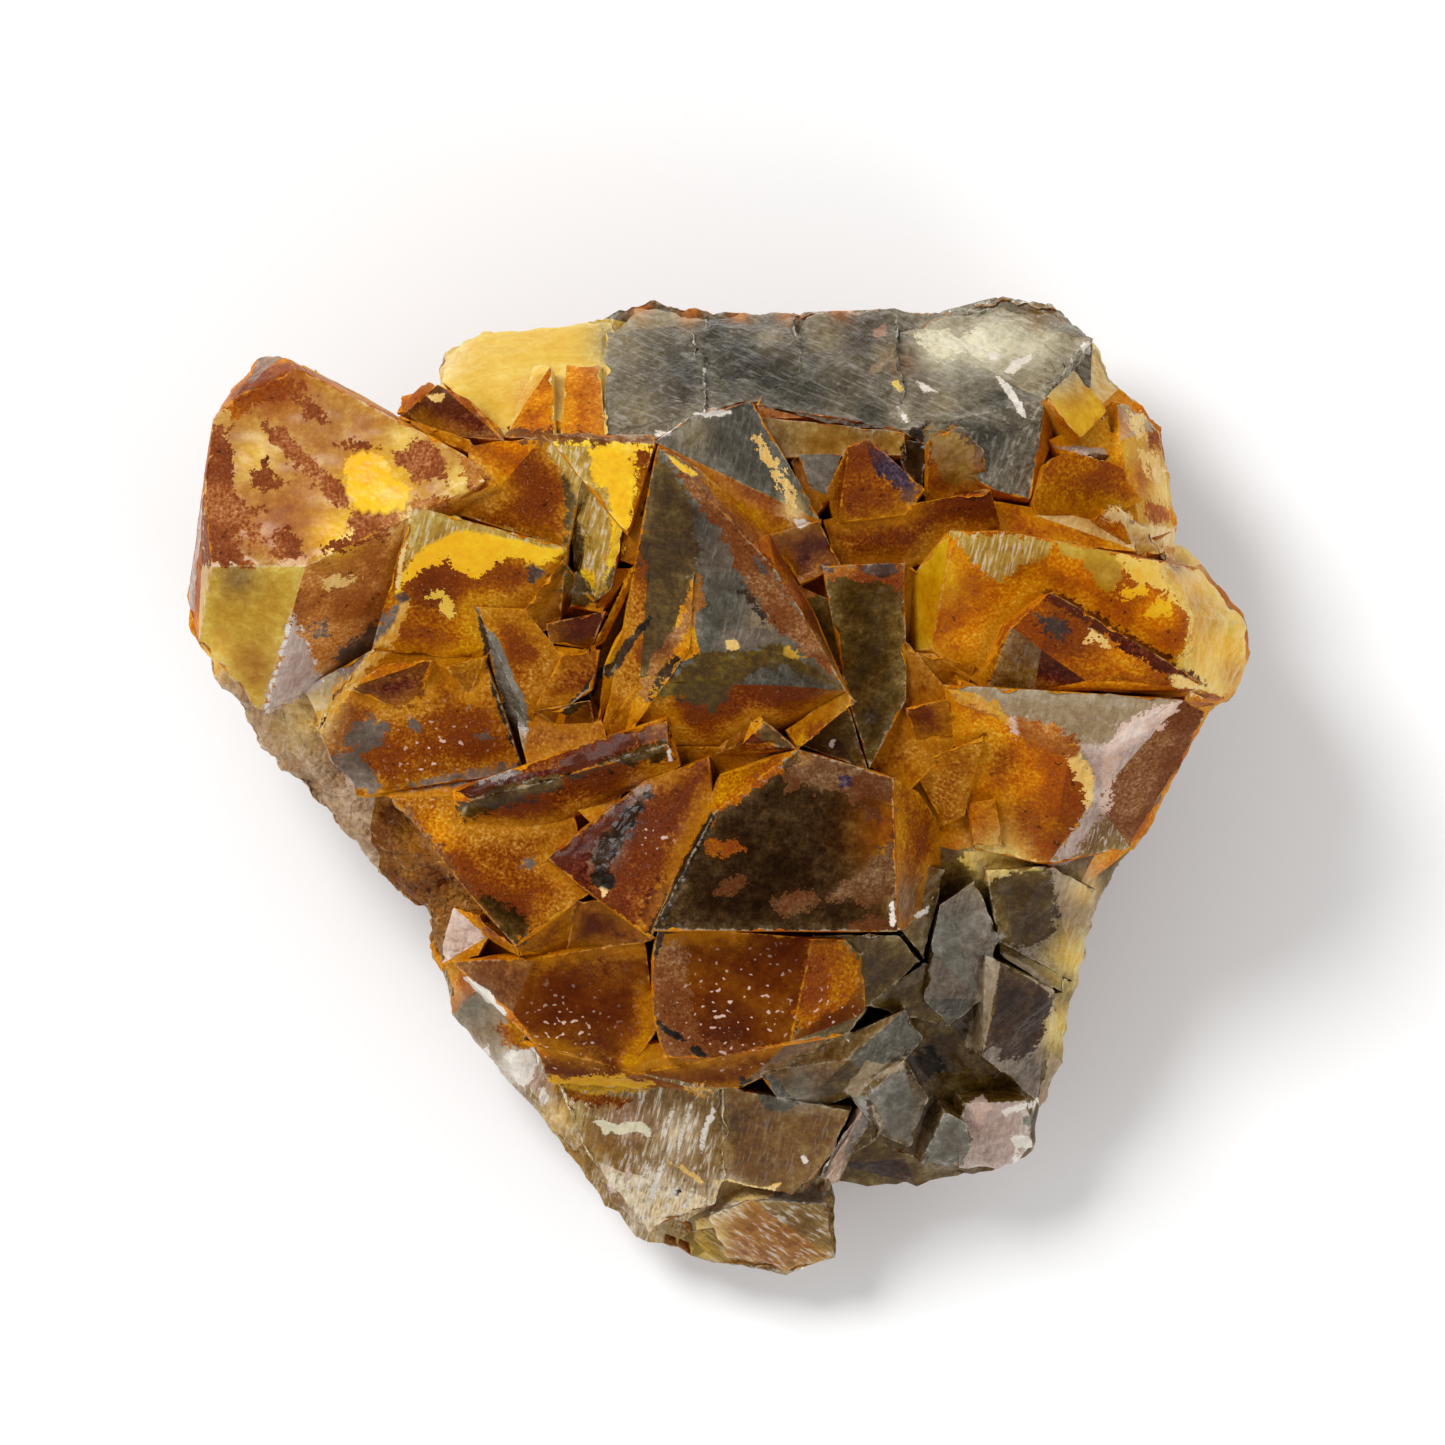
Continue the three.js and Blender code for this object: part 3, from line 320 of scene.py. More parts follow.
# Patches where the coat or the skin has come away or lies thicker: look, then the plan outline.
PATCHES = [
    # The table at the left, its coat mostly gone.
    ("flake", [(392, 452), (410, 446), (422, 440), (440, 448), (446, 464), (448, 482), (424, 484),
        (408, 478), (398, 462)]),
    ("flake", [(462, 458), (474, 456), (490, 480), (476, 493), (462, 478)]),
    ("flake", [(393, 501), (412, 497), (450, 498), (451, 511), (412, 512)]),
    ("flake", [(292, 399), (312, 395), (328, 414), (325, 426), (308, 418)]),
    ("flake", [(262, 422), (284, 430), (314, 458), (346, 486), (354, 512), (330, 502), (304, 472),
        (282, 450)]),
    ("flake", [(204, 470), (210, 425), (228, 430), (234, 478), (240, 500), (268, 512), (246, 524),
        (240, 548), (258, 566), (200, 566)]),
    ("flake", [(252, 474), (266, 461), (276, 478), (292, 482), (280, 491), (256, 489)]),
    ("flake", [(350, 513), (380, 505), (410, 508), (400, 530), (330, 558), (322, 548), (352, 532)]),
    ("flake", [(276, 533), (292, 530), (306, 548), (298, 558), (276, 562)]),
    ("flake", [(248, 530), (262, 526), (266, 542), (250, 548)]),
    ("flake", [(334, 446), (362, 452), (384, 448), (366, 442), (346, 438)]),
    ("bright_yellow", [(346, 462), (360, 450), (384, 456), (396, 480), (412, 490), (408, 512), (386, 520),
        (362, 514), (344, 486)]),
    ("amber_coat", [(224, 408), (244, 384), (264, 373), (306, 384), (294, 396), (258, 404), (238, 418)]),
    ("cream", [(320, 582), (336, 573), (362, 578), (350, 588), (330, 591)]),
    ("lilac", [(336, 650), (372, 628), (402, 600), (400, 625), (372, 654), (350, 682), (336, 668)]),
    ("lilac", [(310, 628), (326, 622), (330, 634), (316, 640)]),
    ("silver", [(294, 615), (324, 684), (262, 718)]),
    ("golden", [(402, 602), (412, 598), (394, 645), (368, 672), (344, 704), (316, 738), (310, 722),
        (340, 682), (372, 643)]),
    # The crystals right of it.
    ("bright_yellow", [(408, 562), (420, 548), (440, 536), (465, 526), (520, 536), (568, 550), (556, 560),
        (544, 570), (532, 561), (505, 560), (492, 566), (478, 580), (462, 572), (446, 561), (424, 571),
        (398, 592)]),
    ("sparkle", [(413, 506), (475, 520), (568, 549), (545, 552), (505, 543), (470, 535), (450, 537),
        (430, 547), (412, 562), (404, 576)]),
    ("pale_yellow", [(426, 598), (428, 593), (446, 590), (452, 600), (456, 614), (451, 622), (442, 612),
        (438, 600)]),
    ("blue_black", [(528, 568), (540, 562), (548, 574), (540, 584), (530, 580)]),
    ("blue_black", [(396, 596), (406, 592), (412, 600), (402, 608)]),
    ("lilac", [(338, 742), (352, 724), (372, 717), (386, 726), (380, 746), (364, 750)]),
    ("lilac", [(338, 750), (356, 752), (366, 768), (384, 782), (372, 794), (350, 788), (334, 770)]),
    ("lilac", [(400, 790), (430, 778), (470, 770), (515, 765), (522, 774), (470, 784)]),
    ("lilac", [(476, 736), (490, 728), (496, 734), (482, 742)]),
    ("lilac", [(410, 722), (418, 720), (420, 734), (412, 738)]),
    ("maroon", [(386, 690), (404, 680), (424, 676), (424, 694), (402, 708), (388, 704)]),
    ("dull", [(450, 434), (520, 430), (600, 436), (656, 440), (600, 446), (540, 446), (500, 440)]),
    ("sparkle", [(545, 446), (590, 446), (592, 484), (608, 490), (612, 530), (606, 590), (596, 600),
        (584, 560), (576, 500)]),
    ("dark_olive", [(562, 470), (574, 482), (582, 510), (586, 540), (584, 570), (600, 606), (572, 606),
        (562, 590), (568, 520)]),
    ("bright_yellow", [(591, 458), (600, 450), (618, 449), (634, 466), (630, 520), (618, 566), (611, 560),
        (612, 510), (605, 488), (594, 484)]),
    ("flake", [(620, 462), (630, 460), (632, 480), (624, 500), (622, 530), (614, 530), (618, 500)]),
    ("bright_yellow", [(582, 574), (590, 562), (600, 566), (600, 584), (590, 592)]),
    ("coat", [(634, 456), (652, 446), (647, 480), (636, 520), (630, 520), (636, 480)]),
    # The broken peak.
    ("dark_olive", [(650, 470), (668, 464), (684, 486), (692, 514), (700, 560), (692, 590), (676, 620),
        (660, 660), (650, 640), (646, 560), (640, 540)]),
    ("flake", [(659, 500), (668, 500), (672, 556), (672, 604), (662, 622), (652, 600), (655, 540)]),
    ("olive_black", [(640, 536), (656, 534), (660, 546), (640, 570)]),
    ("pink", [(664, 452), (692, 478), (716, 500), (742, 530), (766, 560), (790, 600), (820, 640),
        (846, 684), (836, 680), (802, 652), (776, 628), (750, 592), (734, 560), (716, 530), (698, 506),
        (678, 480)]),
    ("umber", [(742, 588), (756, 600), (768, 616), (762, 618), (744, 600)]),
    ("grey", [(712, 650), (720, 634), (736, 627), (762, 629), (784, 640), (768, 646), (744, 649)]),
    ("olive_green", [(650, 694), (698, 656), (745, 650), (780, 642), (802, 660), (846, 690), (815, 682),
        (790, 667), (765, 668), (742, 680), (726, 696), (712, 712), (696, 706), (680, 697), (662, 699)]),
    ("olive_yellow", [(776, 646), (792, 646), (802, 658), (792, 664), (778, 658)]),
    ("pink", [(640, 696), (652, 654), (678, 622), (690, 590), (698, 576), (704, 596), (692, 628),
        (672, 654), (656, 684), (646, 700)]),
    ("black", [(646, 694), (656, 670), (676, 656), (684, 664), (664, 686), (652, 698)]),
    ("flake", [(782, 584), (820, 564), (905, 562), (905, 588), (880, 582), (850, 580), (830, 578),
        (814, 594), (800, 606)]),
    ("ochre", [(664, 452), (688, 470), (716, 490), (752, 508), (796, 522), (786, 530), (768, 536),
        (740, 520), (700, 478)]),
    # The dark cube and the crystals around it.
    ("rust", [(799, 749), (868, 769), (894, 777), (894, 830), (886, 804), (868, 798), (852, 804),
        (840, 788), (820, 792), (800, 784), (784, 792), (788, 772)]),
    ("amber_coat", [(712, 800), (744, 784), (776, 758), (796, 750), (772, 778), (744, 796), (716, 812),
        (712, 830), (706, 826)]),
    ("rust", [(862, 812), (880, 808), (882, 820), (864, 821)]),
    ("rust", [(774, 899), (800, 888), (820, 893), (812, 906), (790, 916), (774, 910)]),
    ("rust", [(820, 902), (836, 886), (858, 870), (880, 850), (894, 836), (894, 896), (868, 904),
        (846, 898)]),
    ("ochre", [(704, 838), (736, 838), (744, 848), (728, 856), (706, 856)]),
    ("rust", [(715, 892), (730, 878), (750, 872), (745, 888), (724, 896)]),
    ("rust", [(846, 925), (870, 918), (894, 920), (892, 930), (850, 932)]),
    ("maroon", [(545, 860), (574, 838), (604, 818), (640, 788), (632, 800), (604, 832), (590, 856),
        (588, 892)]),
    ("umber", [(596, 846), (612, 822), (630, 804), (650, 786), (652, 794), (636, 824), (620, 850),
        (606, 872), (592, 876)]),
    ("maroon", [(640, 912), (652, 892), (672, 872), (664, 912), (648, 934)]),
    ("olive_black", [(454, 806), (470, 800), (500, 788), (530, 778), (566, 772), (562, 788), (520, 800),
        (490, 812), (462, 822)]),
    ("olive_black", [(560, 782), (600, 762), (640, 746), (666, 736), (670, 760), (640, 764), (600, 768),
        (572, 780)]),
    ("maroon", [(534, 776), (580, 752), (630, 732), (668, 720), (668, 734), (630, 748), (580, 768)]),
    ("pink", [(393, 798), (406, 806), (452, 862), (504, 928), (494, 932), (438, 868)]),
    ("olive_black", [(474, 892), (500, 903), (536, 925), (515, 949), (494, 930)]),
    ("lilac", [(520, 860), (532, 858), (534, 868), (522, 870)]),
    ("olive_black", [(752, 722), (764, 722), (797, 748), (776, 752), (762, 740)]),
    ("umber", [(826, 742), (838, 736), (862, 770), (856, 772)]),
    # The front row.
    ("amber_coat", [(812, 940), (850, 946), (864, 980), (850, 1000), (800, 1030), (796, 1020)]),
    ("pink", [(652, 946), (684, 936), (690, 1000), (700, 1040), (760, 1044), (700, 1062), (664, 1058),
        (652, 1020)]),
    ("purple", [(812, 1004), (830, 990), (846, 986), (856, 996), (836, 1000), (818, 1008)]),
    ("ochre", [(632, 1000), (652, 992), (655, 1034), (629, 1071), (618, 1062), (642, 1030)]),
    # The cubes at the right.
    ("sparkle", [(948, 532), (1056, 541), (1046, 556), (1020, 566), (998, 584), (984, 572), (964, 552)]),
    ("olive_yellow", [(1054, 541), (1112, 552), (1122, 572), (1110, 596), (1098, 584), (1088, 566),
        (1066, 560)]),
    # A painted glow of light shining through the east rim.
    ("painted_glow", [(1108, 550), (1152, 560), (1194, 612), (1190, 640), (1182, 692), (1172, 668), (1188, 636),
        (1188, 614), (1172, 600), (1156, 588), (1130, 584), (1122, 566)]),
    ("bright_yellow", [(1110, 594), (1140, 582), (1152, 590), (1126, 600)]),
    ("bright_yellow", [(1144, 616), (1158, 600), (1180, 606), (1162, 616)]),
    ("maroon", [(1042, 590), (1060, 594), (1198, 676), (1204, 684), (1176, 680), (1118, 646), (1070, 614),
        (1050, 604)]),
    ("blue_black", [(1036, 614), (1056, 618), (1068, 632), (1060, 642), (1044, 632)]),
    ("cream", [(1088, 630), (1108, 640), (1104, 650), (1086, 642)]),
    ("cream", [(1164, 666), (1190, 676), (1202, 696), (1176, 690)]),
    ("golden", [(942, 684), (980, 696), (1006, 710), (1016, 730), (1000, 718), (984, 712), (958, 700)]),
    ("frost", [(1004, 708), (1016, 716), (1020, 738), (1012, 734)]),
    ("sienna", [(1010, 716), (1050, 724), (1082, 744), (1076, 760), (1050, 752), (1020, 738)]),
    ("cream", [(1062, 752), (1078, 756), (1094, 774), (1100, 806), (1088, 816), (1082, 786),
        (1072, 768)]),
    ("silver", [(1078, 744), (1104, 747), (1101, 818), (1070, 864), (1050, 866), (1086, 812),
        (1092, 772)]),
    ("frost", [(1100, 752), (1126, 722), (1160, 704), (1180, 701), (1158, 726), (1140, 740), (1120, 752),
        (1112, 780), (1108, 816), (1100, 812)]),
    # The broken back.
    ("mist", [(918, 336), (936, 326), (962, 330), (980, 324), (1002, 342), (990, 358), (962, 350),
        (946, 362), (928, 350)]),
    ("cream", [(1138, 450), (1158, 452), (1166, 470), (1160, 486), (1148, 474)]),
    ("cream", [(1130, 414), (1146, 416), (1148, 442), (1132, 432)]),
    ("sienna", [(1148, 424), (1160, 432), (1162, 450), (1150, 446)]),
    ("orange", [(1140, 500), (1176, 506), (1182, 524), (1150, 522)]),
    ("cream", [(1140, 526), (1180, 526), (1178, 548), (1150, 544)]),
    ("purple", [(868, 446), (888, 452), (906, 468), (920, 490), (906, 512), (898, 490), (884, 478),
        (870, 466)]),
    ("cream", [(752, 440), (760, 438), (778, 462), (796, 496), (800, 520), (790, 516), (780, 486),
        (764, 462)]),
    ("amber_band", [(926, 428), (954, 428), (972, 452), (974, 480), (956, 486), (936, 472)]),
    ("black", [(900, 450), (914, 428), (926, 426), (922, 446), (908, 458)]),
    ("cream", [(1100, 514), (1116, 505), (1172, 554), (1150, 548), (1118, 522), (1104, 524)]),
    # The lower right.
    ("dark_olive", [(984, 884), (1020, 870), (1048, 868), (1056, 900), (1056, 938), (1030, 950),
        (1002, 944), (992, 914)]),
    ("straw", [(958, 860), (984, 846), (1010, 852), (1044, 866), (1020, 872), (996, 872), (984, 886),
        (972, 870)]),
    ("umber", [(1000, 974), (1044, 984), (1056, 1000), (1046, 1034), (1030, 1060), (1006, 1064),
        (992, 1044), (996, 1006)]),
    ("black", [(906, 1054), (936, 1050), (944, 1072), (924, 1082), (906, 1076)]),
    # The front ledge and the fibrous ground under it.
    ("honey", [(546, 1078), (600, 1074), (652, 1084), (640, 1094), (580, 1094), (552, 1092)]),
    ("golden", [(684, 1090), (700, 1084), (714, 1092), (700, 1098)]),
    # The lower left.
    ("amber_coat", [(496, 1030), (510, 1018), (540, 1044), (548, 1060), (530, 1056), (508, 1050)]),
    ("brown", [(550, 1088), (600, 1096), (640, 1100), (620, 1108), (580, 1106)]),
]

# Small or sharp-edged marks over everything else: look, then the plan outline.
FLECKS = [
    # The near-white flecks in this list are painted glints: light caught on small faces, edges and
    # fibres.
    ("painted_glint", [(293, 612), (296, 613), (265, 716), (262, 717)]),
    ("painted_glint", [(295, 613), (297, 613), (326, 684), (324, 685)]),
    ("cream", [(410, 506), (414, 507), (400, 590), (396, 590)]),
    # A painted shadow: the shaded crevice between two crystals, drawn as a black line.
    ("black", [(475, 606), (480, 606), (496, 680), (524, 770), (521, 771), (492, 690)]),
    ("slate", [(486, 626), (500, 640), (516, 680), (528, 706), (528, 728), (513, 730), (500, 694),
        (490, 660)]),
    ("olive", [(513, 730), (528, 728), (526, 752), (520, 752)]),
    # Painted shade: the dark crack along the dark cube's left edge, drawn as a black line.
    ("black", [(711, 809), (717, 812), (700, 850), (682, 882), (668, 914), (656, 936), (646, 934),
        (662, 902), (680, 868), (696, 838)]),
    ("black", [(590, 876), (600, 870), (614, 874), (616, 888), (604, 890), (592, 884)]),
    ("cream", [(724, 640), (734, 638), (740, 649), (728, 650)]),
    ("blue_black", [(750, 556), (758, 556), (768, 574), (760, 574)]),
    ("blue_black", [(818, 566), (830, 562), (836, 572), (824, 574)]),
    ("blue_black", [(860, 566), (890, 562), (900, 572), (880, 578), (862, 574)]),
    ("painted_glint", [(793, 520), (806, 519), (812, 526), (798, 530)]),
    ("bright_yellow", [(664, 454), (672, 458), (700, 476), (694, 478), (676, 468)]),
    ("black", [(604, 672), (626, 640), (650, 616), (652, 620), (630, 650), (612, 680)]),
    ("black", [(560, 712), (580, 692), (604, 664), (606, 672), (590, 700), (572, 716)]),
    ("painted_glint", [(888, 904), (893, 900), (895, 922), (891, 926)]),
    ("purple", [(838, 776), (850, 774), (852, 786), (840, 788)]),
    ("cream", [(600, 882), (607, 880), (608, 893), (602, 898)]),
    ("pink", [(644, 728), (664, 721), (668, 738), (648, 742)]),
    ("painted_glint", [(667, 746), (671, 750), (672, 762), (668, 762)]),
    ("painted_glint", [(463, 977), (470, 979), (488, 993), (507, 1013), (504, 1018), (480, 1001)]),
    ("black", [(656, 926), (690, 920), (682, 928), (664, 936), (656, 962), (652, 950)]),
    ("black", [(656, 1018), (682, 1036), (686, 1042), (668, 1036), (657, 1028)]),
    ("black", [(688, 1048), (698, 1046), (708, 1056), (694, 1057)]),
    ("painted_glint", [(480, 1052), (488, 1044), (490, 1056), (484, 1064)]),
    ("painted_glint", [(499, 1060), (510, 1052), (530, 1050), (538, 1060), (530, 1082), (522, 1088), (506, 1076),
        (512, 1068)]),
    ("painted_glint", [(538, 1088), (546, 1090), (548, 1102), (540, 1110)]),
    ("painted_glint", [(655, 428), (668, 428), (676, 434), (664, 438), (656, 436)]),
    ("painted_glint", [(694, 413), (712, 409), (734, 409), (734, 414), (706, 419)]),
    ("painted_glint", [(996, 376), (1010, 384), (1022, 402), (1026, 416), (1020, 412), (1008, 394)]),
    ("painted_glint", [(1004, 372), (1018, 358), (1034, 352), (1030, 360), (1012, 376)]),
    ("pale_grey", [(866, 376), (884, 352), (894, 340), (896, 350), (880, 370)]),
    # A small painted glow of light through the stone.
    ("painted_glow", [(890, 378), (898, 380), (902, 394), (896, 396)]),
    ("painted_glint", [(896, 404), (902, 406), (910, 420), (904, 420)]),
    ("painted_glint", [(914, 383), (930, 386), (938, 391), (924, 391)]),
    ("painted_glint", [(990, 346), (1000, 352), (998, 364), (990, 360)]),
    ("painted_glint", [(1082, 340), (1090, 342), (1094, 350), (1086, 352)]),
    ("veil", [(1050, 446), (1086, 446), (1106, 450), (1104, 462), (1080, 454)]),
    ("veil", [(872, 326), (886, 322), (888, 334), (878, 338)]),
    ("painted_glint", [(801, 1154), (807, 1158), (808, 1168), (803, 1164)]),
    ("black", [(738, 1078), (752, 1080), (754, 1094), (740, 1090)]),
    ("dark_grey", [(752, 1084), (770, 1074), (800, 1104), (784, 1116), (764, 1108)]),
    ("mist", [(590, 1126), (602, 1122), (620, 1126), (640, 1121), (652, 1130), (650, 1142), (644, 1136),
        (634, 1131), (622, 1137), (612, 1134), (604, 1140), (600, 1130)]),
    ("painted_glint", [(713, 1110), (716, 1114), (706, 1136), (703, 1158), (700, 1150), (702, 1130)]),
    ("painted_glint", [(690, 1106), (693, 1108), (682, 1140), (678, 1158), (676, 1154), (680, 1134)]),
    ("painted_glint", [(672, 1112), (674, 1114), (664, 1138), (660, 1136)]),
    ("painted_glint", [(662, 1163), (666, 1165), (656, 1196), (646, 1216), (643, 1214), (650, 1190)]),
    ("painted_glint", [(646, 1170), (649, 1172), (638, 1196), (634, 1194)]),
    ("painted_glint", [(676, 1188), (680, 1190), (668, 1214), (659, 1232), (656, 1230), (664, 1210)]),
    ("painted_glint", [(692, 1194), (695, 1196), (684, 1216), (676, 1230), (674, 1228), (682, 1210)]),
    ("umber", [(684, 1182), (687, 1184), (676, 1204), (672, 1202)]),
    ("frost", [(625, 1172), (632, 1166), (630, 1184), (624, 1188)]),
    ("frost", [(604, 1184), (610, 1186), (614, 1198), (608, 1198)]),
    ("cream", [(664, 1164), (680, 1167), (704, 1188), (700, 1190), (678, 1171)]),
    ("cream", [(714, 1180), (718, 1184), (720, 1212), (716, 1216)]),
    ("cream", [(714, 1186), (730, 1182), (760, 1190), (782, 1186), (772, 1200), (744, 1204),
        (722, 1200)]),
    ("cream", [(668, 1244), (676, 1240), (700, 1262), (690, 1262)]),
    ("dark_olive", [(726, 1266), (760, 1262), (792, 1280), (760, 1278)]),
    ("pale_grey", [(844, 1092), (868, 1061), (882, 1066), (905, 1061), (905, 1069), (880, 1077),
        (866, 1088), (856, 1099)]),
    ("slate", [(868, 1092), (905, 1071), (914, 1100), (905, 1130), (896, 1144), (882, 1118)]),
    ("veil", [(857, 1106), (862, 1112), (850, 1142), (838, 1200), (824, 1204), (822, 1188), (838, 1150)]),
    ("umber", [(866, 1102), (874, 1108), (886, 1136), (880, 1138), (868, 1116)]),
    ("slate", [(950, 1116), (974, 1140), (964, 1170), (922, 1170), (938, 1142)]),
    ("painted_glint", [(1002, 1112), (1028, 1106), (1045, 1099), (1040, 1108), (1006, 1120)]),
    ("painted_glint", [(1012, 1142), (1024, 1136), (1038, 1148), (1030, 1162), (1026, 1150), (1018, 1152)]),
    ("painted_glint", [(1012, 1160), (1020, 1156), (1024, 1166), (1014, 1168)]),
    ("blue_grey", [(1024, 1122), (1042, 1112), (1044, 1128), (1030, 1134)]),
    ("frost", [(962, 1106), (974, 1102), (984, 1096), (996, 1112), (984, 1114), (986, 1128), (976, 1122),
        (974, 1112)]),
    ("pale_grey", [(986, 956), (1002, 962), (994, 1000), (986, 1048), (976, 1054), (964, 1046),
        (976, 1010), (980, 974)]),
    ("pale_grey", [(1006, 955), (1030, 966), (1060, 992), (1054, 996), (1026, 976), (1004, 962)]),
    ("cream", [(976, 852), (984, 858), (990, 880), (984, 884), (978, 866)]),
    ("painted_glint", [(914, 916), (926, 908), (932, 898), (928, 912), (918, 920)]),
    ("cream", [(424, 394), (446, 396), (442, 404), (430, 402)]),
    ("painted_glint", [(828, 746), (834, 736), (836, 738), (832, 748)]),
]

# Where pale grains sit on the coat: plan position and reach.
GRAINS = [(735, 1015, 64), (565, 1040, 40), (830, 1010, 26), (440, 760, 44), (655, 835, 18)]


def linear(hex_colour):
    """A #rrggbb colour as linear red, green and blue."""
    parts = [int(hex_colour[i:i + 2], 16) / 255 for i in (1, 3, 5)]
    return [c / 12.92 if c <= 0.04045 else ((c + 0.055) / 1.055) ** 2.4 for c in parts]


def opaque(hex_colour):
    """A #rrggbb colour as a shader takes it."""
    return (*linear(hex_colour), 1)


def look_table():
    """The looks as rows: red, green, blue, bare, clear, rough, relief, fibre."""
    return np.array([[*linear(colour), *finish] for colour, *finish in LOOKS.values()])


def plan(points):
    """Points in mm as plan units."""
    return np.stack([points[:, 0] / UNIT + MIDDLE_U, MIDDLE_V - points[:, 1] / UNIT], axis=1)


def fade(values, start, end):
    """How far values are on the way from start to end, as 0 to 1."""
    return np.clip((values - start) / (end - start), 0, 1)


def depth_in_outline(uv, outline):
    """How far plan points lie inside an outline, in plan units: negative outside."""
    corners = np.array(outline, float)
    inside = np.zeros(len(uv), bool)
    nearest = np.full(len(uv), 1e9)
    for start, end in zip(corners, np.roll(corners, -1, axis=0)):
        along = end - start
        share = np.clip((uv - start) @ along / (along @ along), 0, 1)
        nearest = np.minimum(nearest, np.linalg.norm(uv - start - share[:, None] * along, axis=1))
        crosses = (start[1] > uv[:, 1]) != (end[1] > uv[:, 1])
        level = along[1] if along[1] else 1e-9
        inside ^= crosses & (uv[:, 0] < start[0] + (uv[:, 1] - start[1]) * along[0] / level)
    return np.where(inside, nearest, -nearest)


def facet_mesh(node):
    """The solid as flat facets cut into triangles: corners in mm, triangles, each one's facet."""
    mesh = bmesh.new()
    mesh.from_mesh(node.data)
    bmesh.ops.remove_doubles(mesh, verts=mesh.verts, dist=WELD)
    bmesh.ops.dissolve_limit(mesh, angle_limit=math.radians(FLAT_ANGLE), verts=mesh.verts,
                             edges=mesh.edges, use_dissolve_boundaries=False)
    owner = mesh.faces.layers.int.new("facet")
    mesh.faces.index_update()
    for face in mesh.faces:
        face[owner] = face.index
    bmesh.ops.triangulate(mesh, faces=mesh.faces)
    mesh.verts.index_update()
    points = np.array([v.co for v in mesh.verts]) / MM
    triangles = np.array([[v.index for v in f.verts] for f in mesh.faces])
    facets = np.array([f[owner] for f in mesh.faces])
    mesh.free()
    return points, triangles, facets


def normals_of(points, triangles):
    a, b, c = (points[triangles[:, i]] for i in range(3))
    across = np.cross(b - a, c - a)
    return across / np.maximum(np.linalg.norm(across, axis=1, keepdims=True), 1e-12)


def edge_table(triangles):
    """The mesh's edges as pairs of points, and each triangle's three edges."""
    pairs = np.sort(np.concatenate([triangles[:, [0, 1]], triangles[:, [1, 2]],
                                    triangles[:, [2, 0]]]), axis=1)
    edges, index = np.unique(pairs, axis=0, return_inverse=True)
    return edges, index.reshape(3, -1).T


def refine(points, triangles, facets):
    """Cuts long edges in half until every edge is short enough for its place."""
    while True:
        edges, sides = edge_table(triangles)
        ends = points[edges]
        length = np.linalg.norm(ends[:, 0] - ends[:, 1], axis=1)
        middle = ends.mean(axis=1)
        high = fade(middle[:, 2], COARSE_BELOW, FINE_ABOVE)
        cut = length > COARSE_EDGE + (FINE_EDGE - COARSE_EDGE) * high
        if not cut.any():
            return points, triangles, facets
        while True:
            longest = sides[np.arange(len(sides)), np.argmax(length[sides], axis=1)]
            more = cut[sides].any(axis=1) & ~cut[longest]
            if not more.any():
                break
            cut[longest[more]] = True
        new = np.full(len(edges), -1)
        new[cut] = len(points) + np.arange(cut.sum())
        points = np.concatenate([points, middle[cut]])
        made, owners = [], []
        marks = cut[sides]
        for turn in range(3):
            a, b, c = (triangles[:, (turn + k) % 3] for k in range(3))
            ab, bc, ca = (new[sides[:, (turn + k) % 3]] for k in range(3))
            mab, mbc, mca = (marks[:, (turn + k) % 3] for k in range(3))
            if turn == 0:
                whole = ~mab & ~mbc & ~mca
                every = mab & mbc & mca
                pieces = [(whole, (a, b, c)), (every, (a, ab, ca)), (every, (ab, b, bc)),
                          (every, (ca, bc, c)), (every, (ab, bc, ca))]
            else:
                pieces = []
            one = mab & ~mbc & ~mca
            two = mab & mbc & ~mca
            pieces += [(one, (a, ab, c)), (one, (ab, b, c)),
                       (two, (ab, b, bc)), (two, (a, ab, c)), (two, (ab, bc, c))]
            for which, corners in pieces:
                made.append(np.stack(corners, axis=1)[which])
                owners.append(facets[which])
        triangles = np.concatenate(made)
        facets = np.concatenate(owners)


def feature_lines(points, triangles, facets):
    """Points along the convex and the concave edges between facets, for measuring distances."""
    edges, sides = edge_table(triangles)
    face_normals = normals_of(points, triangles)
    centres = points[triangles].mean(axis=1)
    order = np.argsort(sides.ravel(), kind="stable")
    faces = np.repeat(np.arange(len(triangles)), 3)[order]
    first, second = faces[0::2], faces[1::2]
    turn = np.degrees(np.arccos(np.clip((face_normals[first] * face_normals[second]).sum(1), -1, 1)))
    rises = ((centres[second] - centres[first]) * face_normals[first]).sum(1) > 0
    found = {}
    for name, which in (("ridge", ~rises & (turn > RIDGE_ANGLE)),
                        ("crease", rises & (turn > SHARP_ANGLE))):
        rows = edges[(facets[first] != facets[second]) & which]
        a, b = points[rows[:, 0]], points[rows[:, 1]]
        steps = np.maximum(2, (np.linalg.norm(b - a, axis=1) / EDGE_STEP).astype(int))
        found[name] = np.concatenate([a[i] + (b[i] - a[i]) * np.linspace(0, 1, steps[i])[:, None]
                                      for i in range(len(rows))])
    return found


def distances(points, lines):
    """How far each point is from the nearest of the line points, up to EDGE_REACH."""
    tree = KDTree(len(lines))
    for i, p in enumerate(lines):
        tree.insert(p, i)
    tree.balance()
    return np.array([min(EDGE_REACH, tree.find(p)[2]) for p in points])


